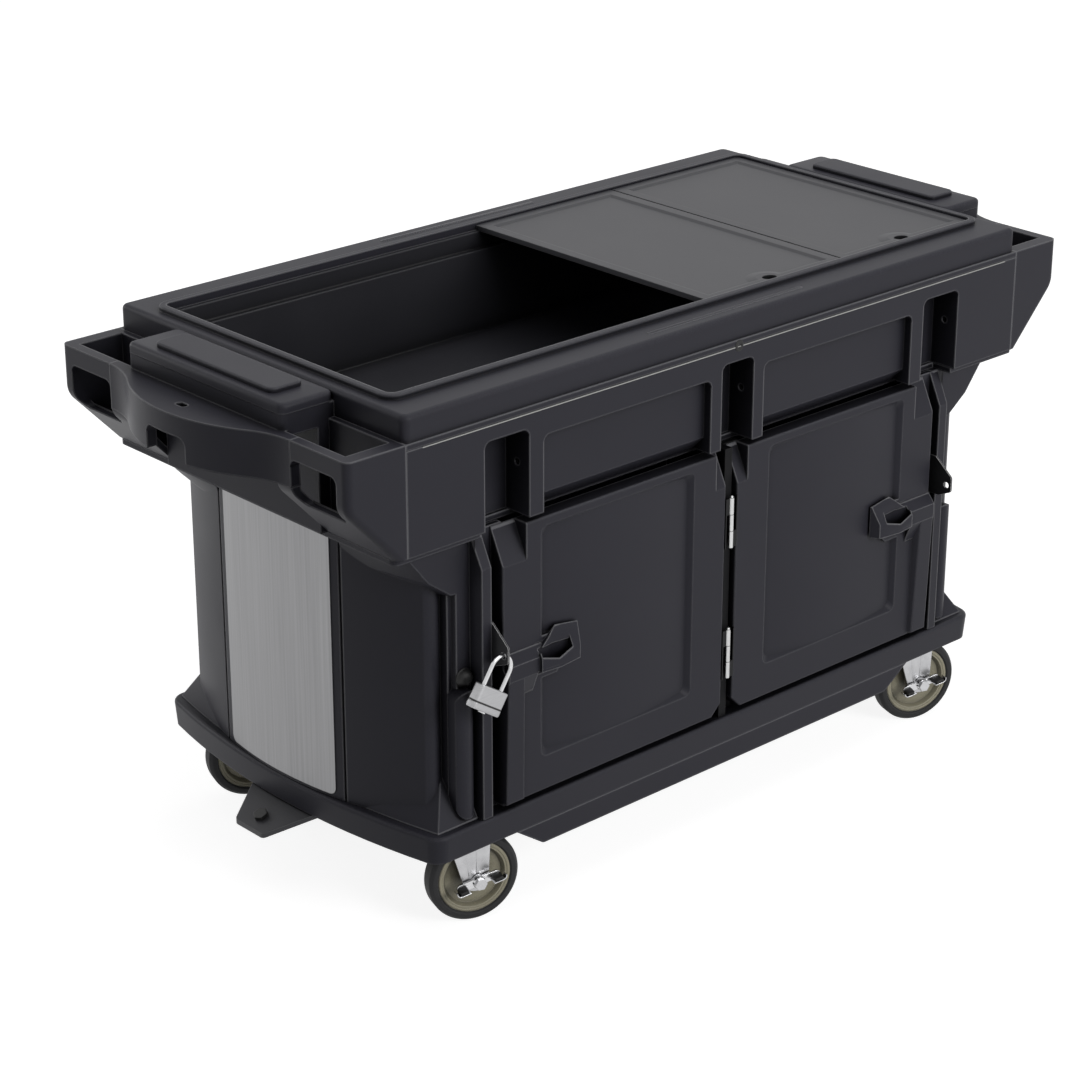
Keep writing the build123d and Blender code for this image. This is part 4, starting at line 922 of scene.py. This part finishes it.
def makeBlockCap(setup):
    height = setup["size"][2]
    cap = makeBlock(setup["size"])
    chooseEdges(cap, uprightEdges(height))
    bpy.ops.mesh.bevel(offset=setup["corner"], segments=6, affect="EDGES")
    chooseEdges(cap, lambda a, b: min(a.z, b.z) > height / 2 - 0.0001)
    bpy.ops.mesh.bevel(offset=setup["round"], segments=5, affect="EDGES")
    bpy.ops.object.mode_set(mode="OBJECT")
    return cap


for side, handleName in ((-1, "left"), (1, "right")):
    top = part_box(handleName + "_handle")[1][2] - blockCap["padTop"]
    spot = moveTo(side * blockCap["middle"], midY, top - blockCap["size"][2] / 2)
    settle(makeBlockCap(blockCap), handleName + "BlockCap", spot, "cart", "shell")
print("deck trimmed")


# Bumpers: rubber domes with a flared foot
bumper = {"radius": 0.0155, "foot": 0.002, "inset": 0.0125,
          "steps": ((0.0012, 0.0008), (0.0012, 0.0036), (0.0018, 0.003), (0.0028, 0.0021), (0.004, 0.001))}


def makeBumper(setup):
    dome = addPrimitive("cylinder", vertices=48, radius=setup["radius"], depth=setup["foot"],
                        location=(0.0, 0.0, setup["foot"] / 2))
    bpy.ops.object.transform_apply(location=True, rotation=False, scale=False)
    chooseFaces(dome, facesUp)
    for inset, rise in setup["steps"]:
        bpy.ops.mesh.inset(thickness=inset)
        bpy.ops.transform.translate(value=(0.0, 0.0, rise))
    bpy.ops.object.mode_set(mode="OBJECT")
    return dome


bumperLow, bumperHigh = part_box("pod_bumpers")
bumperX = bumperHigh[0] - bumper["inset"]
bumperZ = (bumperLow[2] + bumperHigh[2]) / 2
for side, label in ((-1, "left"), (1, "right")):
    dome = makeBumper(bumper)
    spot = moveTo(side * bumperX, bumperHigh[1], bumperZ)
    settle(dome, label + "BumperDome", spot @ turnAbout("X", 90), "cart", "bumper")
    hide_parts("pod_bumpers")
print("bumpers made")


# Pulls: sloping hood with a six-sided mouth, joined to the ramp at the head of the door's grip
doorPull = {
    "middle": 0.396,
    "level": 0.432,
    "inner": -0.061,
    "outer": 0.027,
    "nose": (-0.008, 0.023),
    "facet": 0.128,
    "top": 0.046,
    "slope": 2.13,
    "corner": -0.015,
    "bottom": -0.015,
    "mouth": (0.0358, 0.0079),
    "mouthAt": (-0.006, -0.0132),
    "floor": -0.01,
    "ledge": 0.02,
    "undercut": 0.004,
    "rampOuter": 0.0883,
    "rampProud": 0.0134,
    "rampTop": 0.026,
    "rampEdge": 0.0095,
    "footInner": 0.03,
    "foot": -0.05,
    "overlap": 0.001,
    "sideLean": 0.45,
    "crowns": ((-0.14, 0.0, 1.0), (0.61, 0.0, 0.79)),
    "edge": 0.0004,
}


def makeBox(low, high):
    return makeBlock([b - a for a, b in zip(low, high)], [(a + b) / 2 for a, b in zip(low, high)])


def sliceOff(piece, point, outward):
    bpy.ops.object.mode_set(mode="EDIT")
    bpy.ops.mesh.select_all(action="SELECT")
    away = Vector(outward).normalized()
    bpy.ops.mesh.bisect(plane_co=point, plane_no=away, clear_outer=True, use_fill=True)
    bpy.ops.object.mode_set(mode="OBJECT")


def cutMouth(piece, setup, shift, top):
    x, y = setup["mouthAt"]
    height = top - setup["floor"]
    tool = addPrimitive("cylinder", vertices=6, radius=1.0, depth=height,
                        location=(x, y + shift, setup["floor"] + height / 2))
    tool.scale = (*setup["mouth"], 1.0)
    useTool(piece, tool, "DIFFERENCE")


def makeHood(setup):
    noseX, nose = setup["nose"]
    top = setup["top"]
    hood = makeBox((setup["inner"], -nose, setup["bottom"]), (setup["outer"], 0.0, top))
    sliceOff(hood, (noseX, -nose, 0.0), (-setup["facet"], -1.0, 0.0))
    sliceOff(hood, (noseX, -nose, 0.0), (setup["facet"], -1.0, 0.0))
    sliceOff(hood, (setup["inner"], 0.0, 0.0), (-1.0, -setup["sideLean"], 0.0))
    sliceOff(hood, (0.0, 0.0, top), (0.0, -setup["slope"], 1.0))
    for crown in setup["crowns"]:
        sliceOff(hood, (setup["corner"], 0.0, top), crown)
    return hood


def makeRamp(setup):
    proud, top = setup["rampProud"], setup["rampTop"]
    ramp = makeBox((0.0, -proud, setup["bottom"]), (setup["rampOuter"], 0.0, top))
    sliceOff(ramp, (0.0, 0.0, top), (0.0, -(top - setup["rampEdge"]) / proud, 1.0))
    return ramp


def makeRampFoot(setup):
    proud, bottom, low = setup["rampProud"], setup["bottom"], setup["foot"]
    high = (setup["rampOuter"], 0.0, bottom + setup["overlap"])
    foot = makeBox((setup["footInner"], -proud, low), high)
    sliceOff(foot, (0.0, 0.0, low), (0.0, -(bottom - low) / proud, -1.0))
    return foot


def makePull(setup):
    hood = makeHood(setup)
    for part in (makeRamp(setup), makeRampFoot(setup)):
        useTool(hood, part, "UNION")
    cutMouth(hood, setup, 0.0, 2 * setup["top"])
    cutMouth(hood, setup, setup["undercut"], setup["ledge"])
    useModifier(hood, "BEVEL", width=setup["edge"], segments=1, limit_method="ANGLE")
    return hood


def mirrorAcross(piece):
    piece.scale = (-1.0, 1.0, 1.0)
    bpy.ops.object.transform_apply(location=False, rotation=False, scale=True)
    bpy.ops.object.mode_set(mode="EDIT")
    bpy.ops.mesh.select_all(action="SELECT")
    bpy.ops.mesh.normals_make_consistent(inside=False)
    bpy.ops.object.mode_set(mode="OBJECT")


for side, doorName in ((-1, "left"), (1, "right")):
    pull = makePull(doorPull)
    if side < 0:
        mirrorAcross(pull)
    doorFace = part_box(doorName + "_pull")[1][1]
    spot = moveTo(side * doorPull["middle"], doorFace, doorPull["level"])
    settle(pull, doorName + "PullHood", spot, doorName + "_door", "pull")
    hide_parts(doorName + "_pull")
print("pulls made")


# Well covers: soft raised border, lobe round an oval finger hole
wellCover = {
    "middles": {"left_cover": 0.1625, "right_cover": 0.4795},
    "length": 0.313,
    "width": 0.546,
    "bottom": 0.881,
    "sheet": 0.006,
    "rise": 0.003,
    "border": 0.019,
    "slope": 0.007,
    "holeInset": 0.018,
    "holeSize": (0.0135, 0.0105),
    "lobe": (0.05, 0.022),
    "lobeDepth": 1.6,
    "lobeSink": 0.0002,
    "lobeMargin": 0.004,
    "edge": 0.0008,
    "edgeAngle": 55,
    "smooth": 3,
}


def makeFingerLobe(setup, holeY, level):
    depth = setup["lobeDepth"] * setup["rise"]
    low, high = setup["lobe"]
    lobe = addPrimitive("cone", vertices=64, radius1=low, radius2=high, depth=depth,
                        location=(0.0, holeY, level - setup["lobeSink"] - depth / 2))
    bpy.ops.object.transform_apply(location=True, rotation=False, scale=False)
    sliceOff(lobe, (0.0, setup["lobeMargin"] - setup["width"] / 2, 0.0), (0.0, -1.0, 0.0))
    return lobe


def makeCover(setup):
    height = setup["sheet"] + setup["rise"]
    holeY = setup["holeInset"] - setup["width"] / 2
    slab = makeBlock((setup["length"], setup["width"], height), (0.0, 0.0, height / 2))
    chooseFaces(slab, facesUp)
    bpy.ops.mesh.inset(thickness=setup["border"])
    bpy.ops.mesh.inset(thickness=setup["slope"])
    bpy.ops.transform.translate(value=(0.0, 0.0, -setup["rise"]))
    bpy.ops.object.mode_set(mode="OBJECT")
    useTool(slab, makeFingerLobe(setup, holeY, height), "UNION")
    hole = addPrimitive("cylinder", vertices=48, radius=1.0, depth=4 * height,
                        location=(0.0, holeY, height / 2))
    hole.scale = (*setup["holeSize"], 1.0)
    useTool(slab, hole, "DIFFERENCE")
    useModifier(slab, "BEVEL", width=setup["edge"], segments=3, limit_method="ANGLE",
                angle_limit=math.radians(setup["edgeAngle"]))
    return slab


for coverName, coverX in wellCover["middles"].items():
    lid = makeCover(wellCover)
    lidName = coverName.replace("_c", "C") + "Sheet"
    lidPlace = moveTo(coverX, midY, wellCover["bottom"])
    settle(lid, lidName, lidPlace, coverName, "cover", wellCover["smooth"])
    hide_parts(coverName)
print("covers made")
